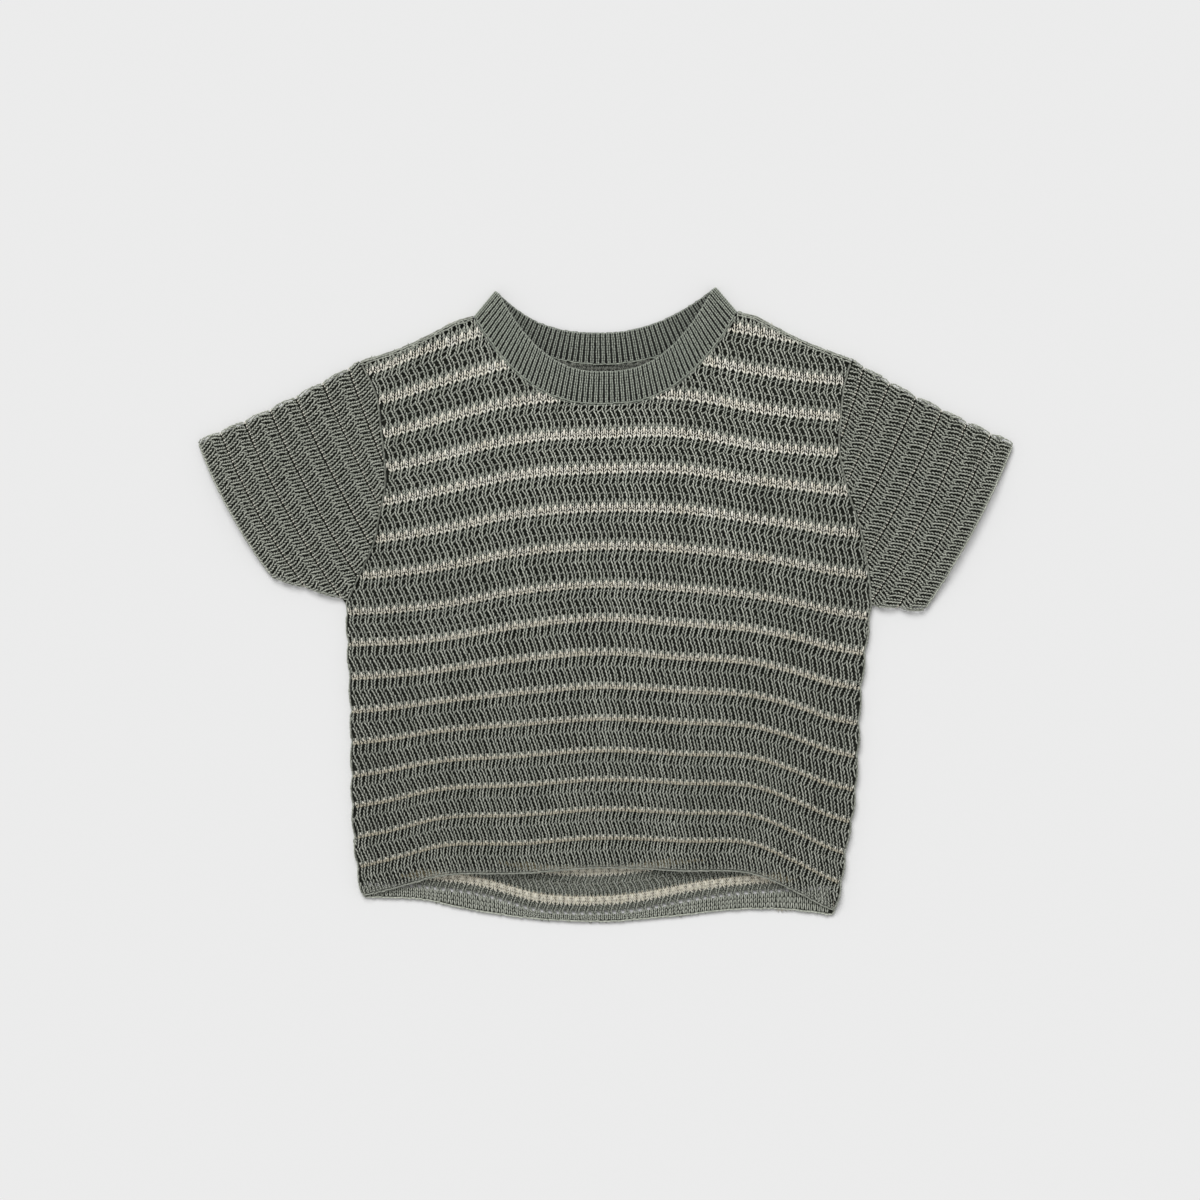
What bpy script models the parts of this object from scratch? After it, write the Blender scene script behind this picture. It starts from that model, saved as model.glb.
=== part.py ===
"""A child's short sleeve t-shirt in openwork cotton knit, laid flat on its back.

Five cut pieces: front panel, back panel, two sleeves and a ribbed collar ring. Sizes are in
millimetres until a mesh is written, which is in metres. +Z is up, +Y points to the neck and
the underside lies on Z = 0. The front lies on the back, and the knit's bands stand up as soft
rolls that grow towards the hem.
"""

import math

import bmesh
import bpy
import numpy as np
from mathutils import Vector
from mathutils.geometry import delaunay_2d_cdt

MM = 0.001
SEAM_GAP = 0.35  # between two pieces that are sewn together

# Cloth
BACK_WALL = 2.0
FRONT_WALL = 1.4  # in the valleys, where the cream stripes lie
SLEEVE_WALL = 1.5
COLLAR_WALL = 1.6
RIB_HEIGHT = 0.7
LAYER_GAP = 0.35  # between the back panel and the front that lies on it
FRONT_LIFT = 2.4  # how far the front stands off the back in the middle of the shirt
SIDE_FADE = 60.0  # in from the side seams over which the front rises to that lift
SHOULDER_FADE = 45.0  # and down from the shoulder seams

# Bands of the body: each cream stripe's height at the centre front, from the hem up
STRIPE_HEIGHT = np.array(
    [-150.9, -133.1, -116.9, -99.6, -82.9, -64.5, -46.1, -26.5, -6.9]
    + [12.7, 35.1, 57.0, 79.5, 99.6, 121.8, 144.2, 167.0, 189.5]
)
STRIPE_NUMBER = np.arange(len(STRIPE_HEIGHT), dtype=float)

# How far the stripes drop away from the centre front: at x, on four of the stripes
SAG_AT_X = np.array([-150.0, -127.0, -95.0, -49.0, -3.0, 43.0, 89.0, 112.0, 129.0, 150.0])
SAG = (
    # stripe, drop at each x
    (1.0, np.array([18.4, 13.2, 4.6, 3.2, 0.0, 1.7, 4.6, 15.0, 23.6, 29.5])),
    (8.0, np.array([14.4, 13.8, 11.5, 4.0, 0.0, 2.9, 6.9, 11.5, 16.1, 19.6])),
    (13.0, np.array([21.9, 19.6, 12.7, 2.9, 0.0, -0.6, 6.9, 9.2, 10.4, 11.5])),
    (15.5, np.array([31.0, 25.5, 15.0, 3.2, 0.0, 0.4, 8.5, 12.2, 13.8, 15.0])),
)

# Height of a band's roll over its valleys: at stripe number
ROLL_AT_STRIPE = np.array([0.0, 6.0, 17.0])
ROLL_HEIGHT = np.array([1.6, 1.2, 0.5])
SIDE_RIPPLE = 1.3  # how far a roll stands out of the side seam past the stripe beside it

# Side seams: height, left x, right x
SIDE_SEAMS = np.array(
    [
        (-178.0, -138.0, 131.0),
        (-162.0, -140.8, 135.1),
        (-141.0, -143.7, 138.0),
        (-120.0, -145.2, 142.0),
        (-86.0, -145.9, 144.9),
        (-51.0, -146.6, 146.6),
        (-17.0, -148.3, 150.4),
        (6.0, -148.6, 152.6),
    ]
)

# Armhole seams: height, left x; height, right x
ARMHOLE_LEFT = np.array(
    [
        (1.0, -149.0),
        (18.4, -140.8),
        (35.7, -133.2),
        (54.1, -129.6),
        (66.0, -126.8),
        (78.9, -126.7),
        (100.2, -129.0),
        (120.4, -131.8),
        (140.0, -140.8),
    ]
)
ARMHOLE_RIGHT = np.array(
    [
        (0.0, 152.8),
        (17.3, 151.2),
        (43.2, 146.6),
        (69.1, 138.4),
        (89.3, 134.4),
        (109.4, 135.4),
        (129.6, 138.0),
        (141.1, 141.2),
    ]
)

# Shoulder seams between armhole and neck: x, height
SHOULDER_LEFT = np.array([(-140.8, 140.0), (-118.4, 147.2), (-90.7, 160.6), (-78.0, 167.3)])
SHOULDER_RIGHT = np.array([(78.0, 170.2), (89.0, 164.4), (109.7, 153.4), (141.2, 141.1)])

# Ripples of the front over the hem: at x, half width, rise
HEM_RIPPLES = ((-58.0, 34.0, 0.9), (12.0, 30.0, -0.7), (82.0, 32.0, 1.0))
HEM_RIPPLE_REACH = 70.0  # how far up the shirt they fade out

# Back hem: x, height
BACK_HEM = np.array(
    [
        (-138.6, -167.8),
        (-105.0, -169.3),
        (-77.0, -175.1),
        (-44.0, -180.0),
        (0.0, -181.8),
        (45.0, -178.2),
        (73.0, -175.1),
        (100.0, -174.6),
        (131.0, -178.0),
    ]
)

# Collar: half width, height of its ends, drop at the centre, fullness left and right
NECK_TILT = 0.018  # the right shoulder lies a little higher
NECK_EDGES = {
    # face: (seam edge, free edge)
    "front": ((73.8, 165.4, 49.3, 2.5, 2.5), (61.3, 180.2, 46.0, 2.5, 2.5)),
    "back": ((73.8, 165.4, 26.6, 2.0, 2.0), (61.3, 180.2, 23.5, 2.7, 2.0)),
}
BAND_WIDTH = 19.5  # of the collar at its side folds
RIBS = {"front": 59, "back": 48}
COLLAR_REST = 2.9  # underside of the collar's front half at the side folds
COLLAR_LIFT = 1.6  # and how much higher its seam lies at the centre
COLLAR_TILT = 1.3  # and its free edge over the seam
COLLAR_ROWS = (0.0, 0.08, 0.92, 1.0)  # shares of the band's width
EDGE_ROUNDING = 0.3  # taken off each face at the collar's two edges
NECK_CORNER = 3.0  # how far the panels reach past the collar's seam ends

# Sleeves: corners of the laid sleeve in plan
SLEEVE_CORNERS = {
    "left": {
        "cuff_top": (-235.2, 94.3),
        "cuff_under": (-192.1, 15.6),
        "shoulder": (-141.4, 140.4),
        "underarm": (-149.2, 2.6),
    },
    "right": {
        "cuff_top": (235.2, 93.3),
        "cuff_under": (183.2, -3.6),
        "shoulder": (141.8, 141.4),
        "underarm": (153.4, -0.4),
    },
}
SLEEVE_BAND = 14.6
CUFF_BOW = 3.0
TOP_SAG = 1.8  # how far the sleeve's top edge dips below a straight line
SLEEVE_ROLL = 1.0
SLEEVE_RIPPLE = 1.4  # how far a roll stands out of the sleeve's folds past the stripe beside it
CUFF_EDGE = 0.3  # share of the roll's height left at the cuff's edge
SLEEVE_BANDS = 8  # made before the sleeve is trimmed along the armhole
SLEEVE_FOLD = 1.1  # radius of the wall's middle at the top and underarm folds
SLEEVE_SWELL = 2.4  # how far the upper layer stands off between the folds

# Centre of the shirt's plan box, which becomes the origin
CENTRE = (0.0, 0.36)

# Where the meshes are cut
ROWS_IN_BAND = (0.0, 0.3, 0.7)
UNDERARM_BAND = 9  # the band that ends the side seams
COLUMN_STEP = 12.5
EDGE_STEP = 6.5
ROW_CLEARANCE = 2.2  # between a row's points and the panel's outline
FRONT_UNDER_STEP = 28.0
BACK_STEP = 40.0
BODY_SPAN = 150.0  # half the width over which points are laid out before they are trimmed
BODY_REACH = 180.0  # and half the length


def smooth_curve(xs, ys, x):
    """A smooth curve through the table's points, read at x and held level past its ends."""
    slope = np.gradient(ys, xs)
    x = np.clip(x, xs[0], xs[-1])
    k = np.clip(np.searchsorted(xs, x) - 1, 0, len(xs) - 2)
    step = xs[k + 1] - xs[k]
    t = (x - xs[k]) / step
    start = ys[k] * (1 + 2 * t) * (1 - t) ** 2 + slope[k] * step * t * (1 - t) ** 2
    end = ys[k + 1] * (3 - 2 * t) * t**2 + slope[k + 1] * step * (t - 1) * t**2
    return start + end


def ease(t):
    """0 to 1 with level ends."""
    t = np.clip(t, 0.0, 1.0)
    return t * t * (3 - 2 * t)


def course_height(number, x):
    """Height on the shirt of a course: a cream stripe at each whole number, from the hem up."""
    stripes = [stripe for stripe, _ in SAG]
    sag = 0.0
    for row, (_, drops) in enumerate(SAG):
        weight = np.interp(number, stripes, np.eye(len(SAG))[row])
        sag = sag + weight * smooth_curve(SAG_AT_X, drops, x)
    return np.interp(number, STRIPE_NUMBER, STRIPE_HEIGHT) - sag


def course_number(x, y):
    """Number of the course that passes through a point of the body."""
    numbers = np.linspace(STRIPE_NUMBER[0], STRIPE_NUMBER[-1], 140)
    return float(np.interp(y, course_height(numbers, x), numbers))


def roll(number):
    """Share of a roll's full height at a course: none on the stripes, full between them."""
    return np.sin(np.pi * (number % 1.0)) ** 0.7


def side_x(side, y, number=None):
    """The side seam's x at a height, rippled by the rolls if the course is given."""
    column = 1 if side == "left" else 2
    out = -1.0 if side == "left" else 1.0
    x = smooth_curve(SIDE_SEAMS[:, 0], SIDE_SEAMS[:, column], y)
    if number is None:
        return x
    return x + out * SIDE_RIPPLE * (roll(number) - 0.6)


def side_point(side, number):
    """Where a course meets the side seam."""
    x = side_x(side, 0.0)
    for _ in range(8):
        y = course_height(number, x)
        x = side_x(side, y, number)
    return float(x), float(y)


def under_front(x, y):
    """Height of the front panel's underside: low at the seams, lifted in the middle."""
    from_left = ease((x - side_x("left", y)) / SIDE_FADE)
    from_right = ease((side_x("right", y) - x) / SIDE_FADE)
    shoulder = np.interp(x, SHOULDER_LEFT[:, 0], SHOULDER_LEFT[:, 1])
    if x > 0:
        shoulder = np.interp(x, SHOULDER_RIGHT[:, 0], SHOULDER_RIGHT[:, 1])
    from_shoulder = ease((shoulder - y) / SHOULDER_FADE)
    lift = FRONT_LIFT * from_left * from_right * from_shoulder
    over_hem = ease(1 - (y - STRIPE_HEIGHT[0]) / HEM_RIPPLE_REACH)
    ripples = [rise * ease(1 - abs(x - at) / half) for at, half, rise in HEM_RIPPLES]
    return BACK_WALL + LAYER_GAP + lift + over_hem * sum(ripples)


def front_top(x, y, number=None):
    """Height of the front panel's outer face, rolls included."""
    if number is None:
        number = course_number(x, y)
    height = np.interp(number, ROLL_AT_STRIPE, ROLL_HEIGHT) * roll(number)
    return under_front(x, y) + FRONT_WALL + height


def neck_edge(face, share, count):
    """Evenly spaced plan points, left to right, on a line along the collar band.

    share is 0 on the seam and 1 on the free edge.
    """
    seam, free = (np.array(edge) for edge in NECK_EDGES[face])
    half, ends, drop, full_left, full_right = seam + (free - seam) * share
    x = np.linspace(-half, half, 400)
    fullness = np.where(x < 0, full_left, full_right)
    y = ends + NECK_TILT * x - drop * (1 - np.abs(x / half) ** fullness)
    length = np.concatenate([[0.0], np.cumsum(np.hypot(np.diff(x), np.diff(y)))])
    at = np.linspace(0.0, length[-1], count)
    return np.stack([np.interp(at, length, x), np.interp(at, length, y)], 1)


def neck_line(face):
    """The panel's neckline, right to left, with a corner that clears the collar's folds."""
    line = neck_edge(face, -SEAM_GAP / BAND_WIDTH, 33)[::-1]
    left, right = fold_direction("left"), fold_direction("right")
    return [line[0] + NECK_CORNER * right, *line, line[-1] + NECK_CORNER * left]


def fold_direction(side):
    """Plan direction in which the collar's side fold bulges: square to the band, outwards."""
    end = 0 if side == "left" else -1
    band = neck_edge("front", 1.0, 2)[end] - neck_edge("front", 0.0, 2)[end]
    square = np.array([-band[1], band[0]]) if side == "left" else np.array([band[1], -band[0]])
    return square / np.hypot(*square)


def even_steps(table, step):
    """Points about one step apart on the smooth curve through a table, ends included."""
    count = max(2, round(abs(table[-1, 0] - table[0, 0]) / step) + 1)
    first = np.linspace(table[0, 0], table[-1, 0], count)
    return np.stack([first, smooth_curve(table[:, 0], table[:, 1], first)], 1)


def side_seam(side, underarm):
    """The side seam from just above the hem to the underarm, a point for each row of a band."""
    rows = [band + part for band in range(UNDERARM_BAND) for part in ROWS_IN_BAND]
    points = [side_point(side, row) for row in rows[1:]]
    return [point for point in points if point[1] < underarm - 2.0]


def body_outline(hem, neck):
    """The panel's outline, anticlockwise from the hem's left end."""
    right_hole = even_steps(ARMHOLE_RIGHT, EDGE_STEP)[:, ::-1]
    left_hole = even_steps(ARMHOLE_LEFT, EDGE_STEP)[:, ::-1]
    right_side = side_seam("right", right_hole[0][1])
    left_side = side_seam("left", left_hole[0][1])
    right_shoulder = even_steps(SHOULDER_RIGHT, 2 * EDGE_STEP)[::-1]
    left_shoulder = even_steps(SHOULDER_LEFT, 2 * EDGE_STEP)[::-1]
    path = [*hem, *right_side, *right_hole, *right_shoulder[1:-1], *neck]
    path += [*left_shoulder[1:-1], *left_hole[::-1], *left_side[::-1]]
    return [(float(x), float(y)) for x, y in path]


def front_hem():
    """The front hem, left to right, on the lowest course."""
    left, right = side_point("left", 0.0), side_point("right", 0.0)
    xs = np.linspace(left[0], right[0], 44)
    return [(x, float(course_height(0.0, x))) for x in xs]


def distance_to_outline(point, outline):
    """Distance from a point to the nearest edge of an outline."""
    a = np.array(outline)
    b = np.roll(a, -1, axis=0)
    along = ((point - a) * (b - a)).sum(1) / ((b - a) ** 2).sum(1)
    nearest = a + (b - a) * np.clip(along, 0, 1)[:, None]
    return float(np.hypot(*(nearest - point).T).min())


def is_inside(point, outline):
    """True if a point lies inside an outline."""
    x, y = point
    inside = False
    for (x1, y1), (x2, y2) in zip(outline, outline[1:] + outline[:1]):
        if (y1 > y) != (y2 > y) and x < x1 + (y - y1) / (y2 - y1) * (x2 - x1):
            inside = not inside
    return inside


def inner_rows(outline, rows, clearance):
    """The runs of each row's points that lie inside an outline, clear of its edge."""
    runs = []
    for row in rows:
        run = []
        for point in row:
            point = np.array(point)
            kept = is_inside(point, outline)
            kept = kept and distance_to_outline(point, outline) > clearance
            if kept:
                run.append((float(point[0]), float(point[1])))
            elif run:
                runs.append(run)
                run = []
        if run:
            runs.append(run)
    return runs


def triangulate(outline, runs):
    """A triangle net inside an outline whose edges follow the given runs of points."""
    points = list(outline)
    edges = []
    for run in runs:
        first = len(points)
        points += run
        edges += [(first + k, first + k + 1) for k in range(len(run) - 1)]
    loop = list(range(len(outline)))
    flat = [Vector(point) for point in points]
    net = delaunay_2d_cdt(flat, edges, [loop], 1, 1e-5)
    return [tuple(v) for v in net[0]], [tuple(face) for face in net[2]]


def rim_edges(faces):
    """Directed edges that only one face of a net has."""
    sides = [(f[k], f[(k + 1) % len(f)]) for f in faces for k in range(len(f))]
    known = set(sides)
    return [(a, b) for a, b in sides if (b, a) not in known]


def add_material(name, colour, roughness):
    """A cloth material with one plain colour."""
    material = bpy.data.materials.new(name)
    material.use_nodes = True
    shader = material.node_tree.nodes["Principled BSDF"]
    shader.inputs["Base Color"].default_value = (*colour, 1.0)
    shader.inputs["Roughness"].default_value = roughness
    shader.inputs["Metallic"].default_value = 0.0
    return material


def add_piece(name, points, faces, material):
    """One closed piece, from points in millimetres, with its faces turned outwards."""
    mesh = bpy.data.meshes.new(name)
    shift = Vector((CENTRE[0], CENTRE[1], 0.0))
    mesh.from_pydata([(Vector(p) - shift) * MM for p in points], [], faces)
    mesh.materials.append(material)
    net = bmesh.new()
    net.from_mesh(mesh)
    bmesh.ops.recalc_face_normals(net, faces=net.faces)
    net.to_mesh(mesh)
    net.free()
    piece = bpy.data.objects.new(name, mesh)
    bpy.context.collection.objects.link(piece)
    return piece


def add_panel(name, outline, rows, top_height, under_height, under_step, material):
    """A panel of cloth as a wall: an outer face on the rows, a plainer inner face and a rim."""
    top_points, top_faces = triangulate(outline, inner_rows(outline, rows, ROW_CLEARANCE))
    xs = np.arange(-BODY_SPAN, BODY_SPAN + 1.0, under_step)
    ys = np.arange(-BODY_REACH, BODY_REACH + 1.0, under_step)
    plain_rows = [[(x, y) for x in xs] for y in ys]
    under_runs = inner_rows(outline, plain_rows, under_step / 3)
    under_points, under_faces = triangulate(outline, under_runs)
    points = [(x, y, float(top_height(x, y))) for x, y in top_points]
    first = len(points)
    points += [(x, y, float(under_height(x, y))) for x, y in under_points]
    faces = list(top_faces)
    faces += [tuple(first + k for k in face[::-1]) for face in under_faces]
    under_at = {(round(x, 3), round(y, 3)): first + k for k, (x, y) in enumerate(under_points)}
    below = [under_at.get((round(x, 3), round(y, 3))) for x, y in top_points]
    faces += [(b, a, below[a], below[b]) for a, b in rim_edges(top_faces)]
    return add_piece(name, points, faces, material)


def front_rows():
    """Rows of points that follow the front's courses, three to a band."""
    xs = np.arange(-BODY_SPAN, BODY_SPAN + 1.0, COLUMN_STEP)
    numbers = [band + part for band in range(17) for part in ROWS_IN_BAND]
    return [[(x, float(course_height(n, x))) for x in xs] for n in numbers if n > 0.0]


def add_tube(name, outer, inner, material):
    """A wall round a flattened tube: two skins of closed rings, joined at both open ends."""
    stations = len(outer[0])
    points = [point for ring in outer + inner for point in ring]

    def ring_start(index):
        return index * stations

    def band(low, high):
        lows, highs = ring_start(low), ring_start(high)
        return [
            (lows + k, lows + (k + 1) % stations, highs + (k + 1) % stations, highs + k)
            for k in range(stations)
        ]

    first_inner, last_inner = len(outer), len(outer) + len(inner) - 1
    faces = []
    for index in range(len(outer) - 1):
        faces += band(index, index + 1)
    for index in range(first_inner, last_inner):
        faces += band(index + 1, index)
    faces += band(first_inner, 0)
    faces += band(len(outer) - 1, last_inner)
    return add_piece(name, points, faces, material)


def collar_ring(share, skin):
    """One closed ring of the collar: front left to right, fold, back right to left, fold.

    skin is 1 for the outer face and -1 for the inner one. The ribs stand up on whichever
    face looks up: the outer one in front, the inner one behind. The band's two edges are
    rounded off.
    """
    at_edge = share in (COLLAR_ROWS[0], COLLAR_ROWS[-1])
    half_wall = COLLAR_WALL / 2 - (EDGE_ROUNDING if at_edge else 0.0)
    ribs = RIB_HEIGHT / 4 if at_edge else RIB_HEIGHT
    front = neck_edge("front", share, 2 * RIBS["front"] + 1)
    back = neck_edge("back", share, 2 * RIBS["back"] + 1)[::-1]
    front_middle = COLLAR_REST + COLLAR_WALL / 2
    back_middle = COLLAR_WALL / 2
    radius = (front_middle - back_middle) / 2
    ring = []
    for k, (x, y) in enumerate(front):
        along = k / (len(front) - 1)
        arch = 1 - abs(2 * along - 1) ** 3
        z = front_middle + arch * (COLLAR_LIFT + COLLAR_TILT * share)
        raised = ribs if skin > 0 and k % 2 else 0.0
        ring.append((x, y, z + skin * half_wall + raised))
    ring += fold_points(front[-1], fold_direction("right"), radius, back_middle, skin * half_wall, 1)
    for k, (x, y) in enumerate(back):
        raised = ribs if skin < 0 and k % 2 else 0.0
        ring.append((x, y, back_middle - skin * half_wall + raised))
    ring += fold_points(front[0], fold_direction("left"), radius, back_middle, skin * half_wall, -1)
    return ring


def fold_points(tip, outwards, radius, low_middle, offset, turn):
    """Points round a side fold, from the upper layer down (turn 1) or from the lower up (-1)."""
    points = []
    for angle in (50, 90, 130):
        swing = math.radians(angle if turn > 0 else 180 - angle)
        reach = (radius + offset) * math.sin(swing)
        z = low_middle + radius + (radius + offset) * math.cos(swing)
        points.append((tip[0] + outwards[0] * reach, tip[1] + outwards[1] * reach, z))
    return points


def add_collar(material):
    """The ribbed ring round the neck, folded flat at both shoulders."""
    outer = [collar_ring(share, 1) for share in COLLAR_ROWS]
    inner = [collar_ring(share, -1) for share in COLLAR_ROWS]
    return add_tube("collar", outer, inner, material)


class SleevePlan:
    """Plan of a sleeve. Its courses run parallel to the cuff, a cream stripe every band."""

    def __init__(self, side):
        corners = {name: np.array(place) for name, place in SLEEVE_CORNERS[side].items()}
        self.side = side
        self.cuff_top = corners["cuff_top"]
        self.cuff_under = corners["cuff_under"]
        along_cuff = self.cuff_top - self.cuff_under
        self.across = along_cuff / np.hypot(*along_cuff)
        inwards = np.array([self.across[1], -self.across[0]])
        self.inwards = inwards if side == "left" else -inwards
        self.top_run = self.run_per_mm(corners["shoulder"] - self.cuff_top)
        self.top_depth = (corners["shoulder"] - self.cuff_top).dot(self.inwards)
        self.under_run = self.run_per_mm(corners["underarm"] - self.cuff_under)

    def run_per_mm(self, edge):
        """An edge's plan step for each millimetre in from the cuff."""
        return edge / edge.dot(self.inwards)

    def point(self, depth, across):
        """Plan point at a depth in from the cuff and a share from underarm (0) to top (1)."""
        fold_reach = SLEEVE_FOLD + SLEEVE_WALL / 2
        along_top = min(depth / self.top_depth, 1.0)
        sag = 4 * along_top * (1 - along_top) * TOP_SAG
        top = self.cuff_top + self.top_run * depth - self.across * (fold_reach + sag)
        under = self.cuff_under + self.under_run * depth + self.across * fold_reach
        bow = 4 * across * (1 - across) * CUFF_BOW
        return under + (top - under) * across - self.inwards * bow


def sleeve_ring(plan, depth, skin):
    """One closed ring of a sleeve: upper layer, top fold, lower layer, underarm fold."""
    band_share = roll(depth / SLEEVE_BAND) if depth > 0 else CUFF_EDGE
    half_wall = SLEEVE_WALL / 2
    low_middle = half_wall
    out = SLEEVE_RIPPLE * (band_share - 0.5) if skin > 0 else 0.0
    ring = []
    for across in np.linspace(0.0, 1.0, 13):
        x, y = plan.point(depth, across)
        swell = SLEEVE_SWELL * ease(3.2 * across) * ease(3.2 * (1 - across))
        z = low_middle + 2 * SLEEVE_FOLD + swell + skin * half_wall
        ring.append((x, y, z + (SLEEVE_ROLL * band_share if skin > 0 else 0.0)))
    top, under = plan.point(depth, 1.0), plan.point(depth, 0.0)
    reach = skin * half_wall
    ring += fold_points(top + plan.across * out, plan.across, SLEEVE_FOLD, low_middle, reach, 1)
    for across in np.linspace(1.0, 0.0, 7):
        x, y = plan.point(depth, across)
        ring.append((x, y, low_middle - skin * half_wall))
    ring += fold_points(under - plan.across * out, -plan.across, SLEEVE_FOLD, low_middle, reach, -1)
    return ring


def armhole_cutter(side, material):
    """A block over the body whose edge is the armhole seam: what it holds is cut away."""
    table = ARMHOLE_LEFT if side == "left" else ARMHOLE_RIGHT
    out = -1.0 if side == "left" else 1.0
    line = even_steps(table, EDGE_STEP)[:, ::-1] + np.array([out * SEAM_GAP, 0.0])
    low, high = line[0], line[-1]
    below, above = (low[0] - out * 0.2, low[1] - 90.0), (high[0] + out * 9.0, high[1] + 20.0)
    plan = [below, *line, above, (0.0, above[1]), (0.0, below[1])]
    count = len(plan)
    points = [(x, y, z) for z in (-10.0, 30.0) for x, y in plan]
    faces = [tuple(range(count)), tuple(range(count, 2 * count))]
    faces += [(k, (k + 1) % count, count + (k + 1) % count, count + k) for k in range(count)]
    cutter = add_piece("armhole_cutter_" + side, points, faces, material)
    cutter.hide_render = True
    cutter.display_type = "WIRE"
    return cutter


def add_sleeve(side, material):
    """A sleeve as a flattened tube, trimmed along the armhole seam."""
    plan = SleevePlan(side)
    rows = [band + part for band in range(SLEEVE_BANDS) for part in ROWS_IN_BAND]
    depths = [SLEEVE_BAND * row for row in rows]
    outer = [sleeve_ring(plan, depth, 1) for depth in depths]
    inner_depths = np.linspace(0.0, depths[-1], 7)
    inner = [sleeve_ring(plan, depth, -1) for depth in inner_depths]
    sleeve = add_tube("sleeve_" + side, outer, inner, material)
    trim = sleeve.modifiers.new("armhole", "BOOLEAN")
    trim.operation = "DIFFERENCE"
    trim.solver = "EXACT"
    trim.object = armhole_cutter(side, material)
    return sleeve


def level(height):
    """A level face at a height."""
    return lambda x, y: height


def add_front(material):
    outline = body_outline(front_hem(), neck_line("front"))
    rows = front_rows()
    step = FRONT_UNDER_STEP
    return add_panel("front_panel", outline, rows, front_top, under_front, step, material)


def add_back(material):
    hem = even_steps(BACK_HEM, 2 * EDGE_STEP)
    outline = body_outline(hem, neck_line("back"))
    xs = np.arange(BACK_STEP / 2 - BODY_SPAN, BODY_SPAN, BACK_STEP)
    rows = [[(x, y) for x in xs] for y in np.arange(-BODY_REACH, BODY_REACH, BACK_STEP)]
    top, under = level(BACK_WALL), level(0.0)
    return add_panel("back_panel", outline, rows, top, under, BACK_STEP, material)


def clear_scene():
    for item in list(bpy.data.objects):
        bpy.data.objects.remove(item, do_unlink=True)


def main():
    clear_scene()
    knit = add_material("sage cotton openwork knit", (0.19, 0.21, 0.18), 0.9)
    rib = add_material("sage cotton rib", (0.17, 0.19, 0.16), 0.9)
    add_back(knit)
    add_front(knit)
    add_sleeve("left", knit)
    add_sleeve("right", knit)
    add_collar(rib)


main()
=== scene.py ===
"""A child's short sleeve t-shirt in openwork cotton knit, laid flat and seen from straight above.

Every stitch leg is modelled: one small leg of yarn, bent and laid thousands of times along the
courses and wales of each panel, with the real holes of the openwork between them. The forms are
those of the solids. Sizes are in millimetres until a mesh is written.
"""

import bpy
import numpy as np
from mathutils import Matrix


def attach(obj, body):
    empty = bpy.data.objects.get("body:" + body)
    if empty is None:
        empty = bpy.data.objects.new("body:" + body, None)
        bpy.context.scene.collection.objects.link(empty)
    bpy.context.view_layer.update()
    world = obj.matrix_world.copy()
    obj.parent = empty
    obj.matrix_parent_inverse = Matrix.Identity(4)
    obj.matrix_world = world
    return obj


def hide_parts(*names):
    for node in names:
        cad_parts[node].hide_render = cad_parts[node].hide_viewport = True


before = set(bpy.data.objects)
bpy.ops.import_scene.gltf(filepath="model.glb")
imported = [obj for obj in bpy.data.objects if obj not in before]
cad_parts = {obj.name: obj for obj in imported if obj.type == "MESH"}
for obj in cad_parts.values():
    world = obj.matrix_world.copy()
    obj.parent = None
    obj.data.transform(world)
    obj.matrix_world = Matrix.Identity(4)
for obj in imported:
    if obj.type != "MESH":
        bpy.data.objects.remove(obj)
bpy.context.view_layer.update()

MM = 0.001
CENTRE = np.array([0.0, 0.36])  # of the shirt's plan box: the frame's origin
RANDOM = np.random.default_rng(11)
OUTWARD = {"left": -1.0, "right": 1.0}  # which way is out, along x

# ---------------------------------------------------------------- cloth and form of the solids
SEAM_GAP = 0.35
BACK_WALL = 2.0
FRONT_WALL = 1.4
SLEEVE_WALL = 1.5
COLLAR_WALL = 1.6
RIB_HEIGHT = 0.7
LAYER_GAP = 0.35
FRONT_LIFT = 2.4
SIDE_FADE = 60.0
SHOULDER_FADE = 45.0

# Height of each cream stripe at the centre front, from the hem up
STRIPE_HEIGHT = np.array(
    [-150.9, -133.1, -116.9, -99.6, -82.9, -64.5, -46.1, -26.5, -6.9]
    + [12.7, 35.1, 57.0, 79.5, 99.6, 121.8, 144.2, 167.0, 189.5]
)
STRIPE_NUMBER = np.arange(len(STRIPE_HEIGHT), dtype=float)

# How far the stripes drop away from the centre front: at x, on six of the courses
SAG_AT_X = np.array([-150.0, -127.0, -95.0, -49.0, -3.0, 43.0, 89.0, 112.0, 129.0, 150.0])
SAG = (
    (1.0, np.array([18.4, 13.2, 4.6, 3.2, 0.0, 1.7, 4.6, 15.0, 23.6, 29.5])),
    (4.5, np.array([14.6, 11.7, 6.4, 3.2, 0.0, 2.1, 5.2, 12.2, 18.6, 23.3])),
    (8.0, np.array([14.4, 13.8, 11.5, 4.0, 0.0, 2.9, 6.9, 11.5, 16.1, 19.6])),
    (13.0, np.array([21.9, 19.6, 12.7, 2.9, 0.0, -0.6, 6.9, 9.2, 10.4, 11.5])),
    (15.5, np.array([31.0, 25.5, 15.0, 3.2, 0.0, 0.4, 8.5, 12.2, 13.8, 15.0])),
    (17.0, np.array([43.0, 34.5, 17.2, 3.2, 0.0, 0.4, 9.0, 13.2, 15.2, 17.0])),
)

ROLL_AT_STRIPE = np.array([0.0, 6.0, 17.0])
ROLL_HEIGHT = np.array([1.6, 1.2, 0.5])
ROLL_SHAPE = 0.7  # less than 1, so that the bands are full and their stripes narrow
SIDE_RIPPLE = 1.3
SIDE_RIPPLE_LEVEL = 0.6  # of the roll at which a side seam lies on its table

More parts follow.
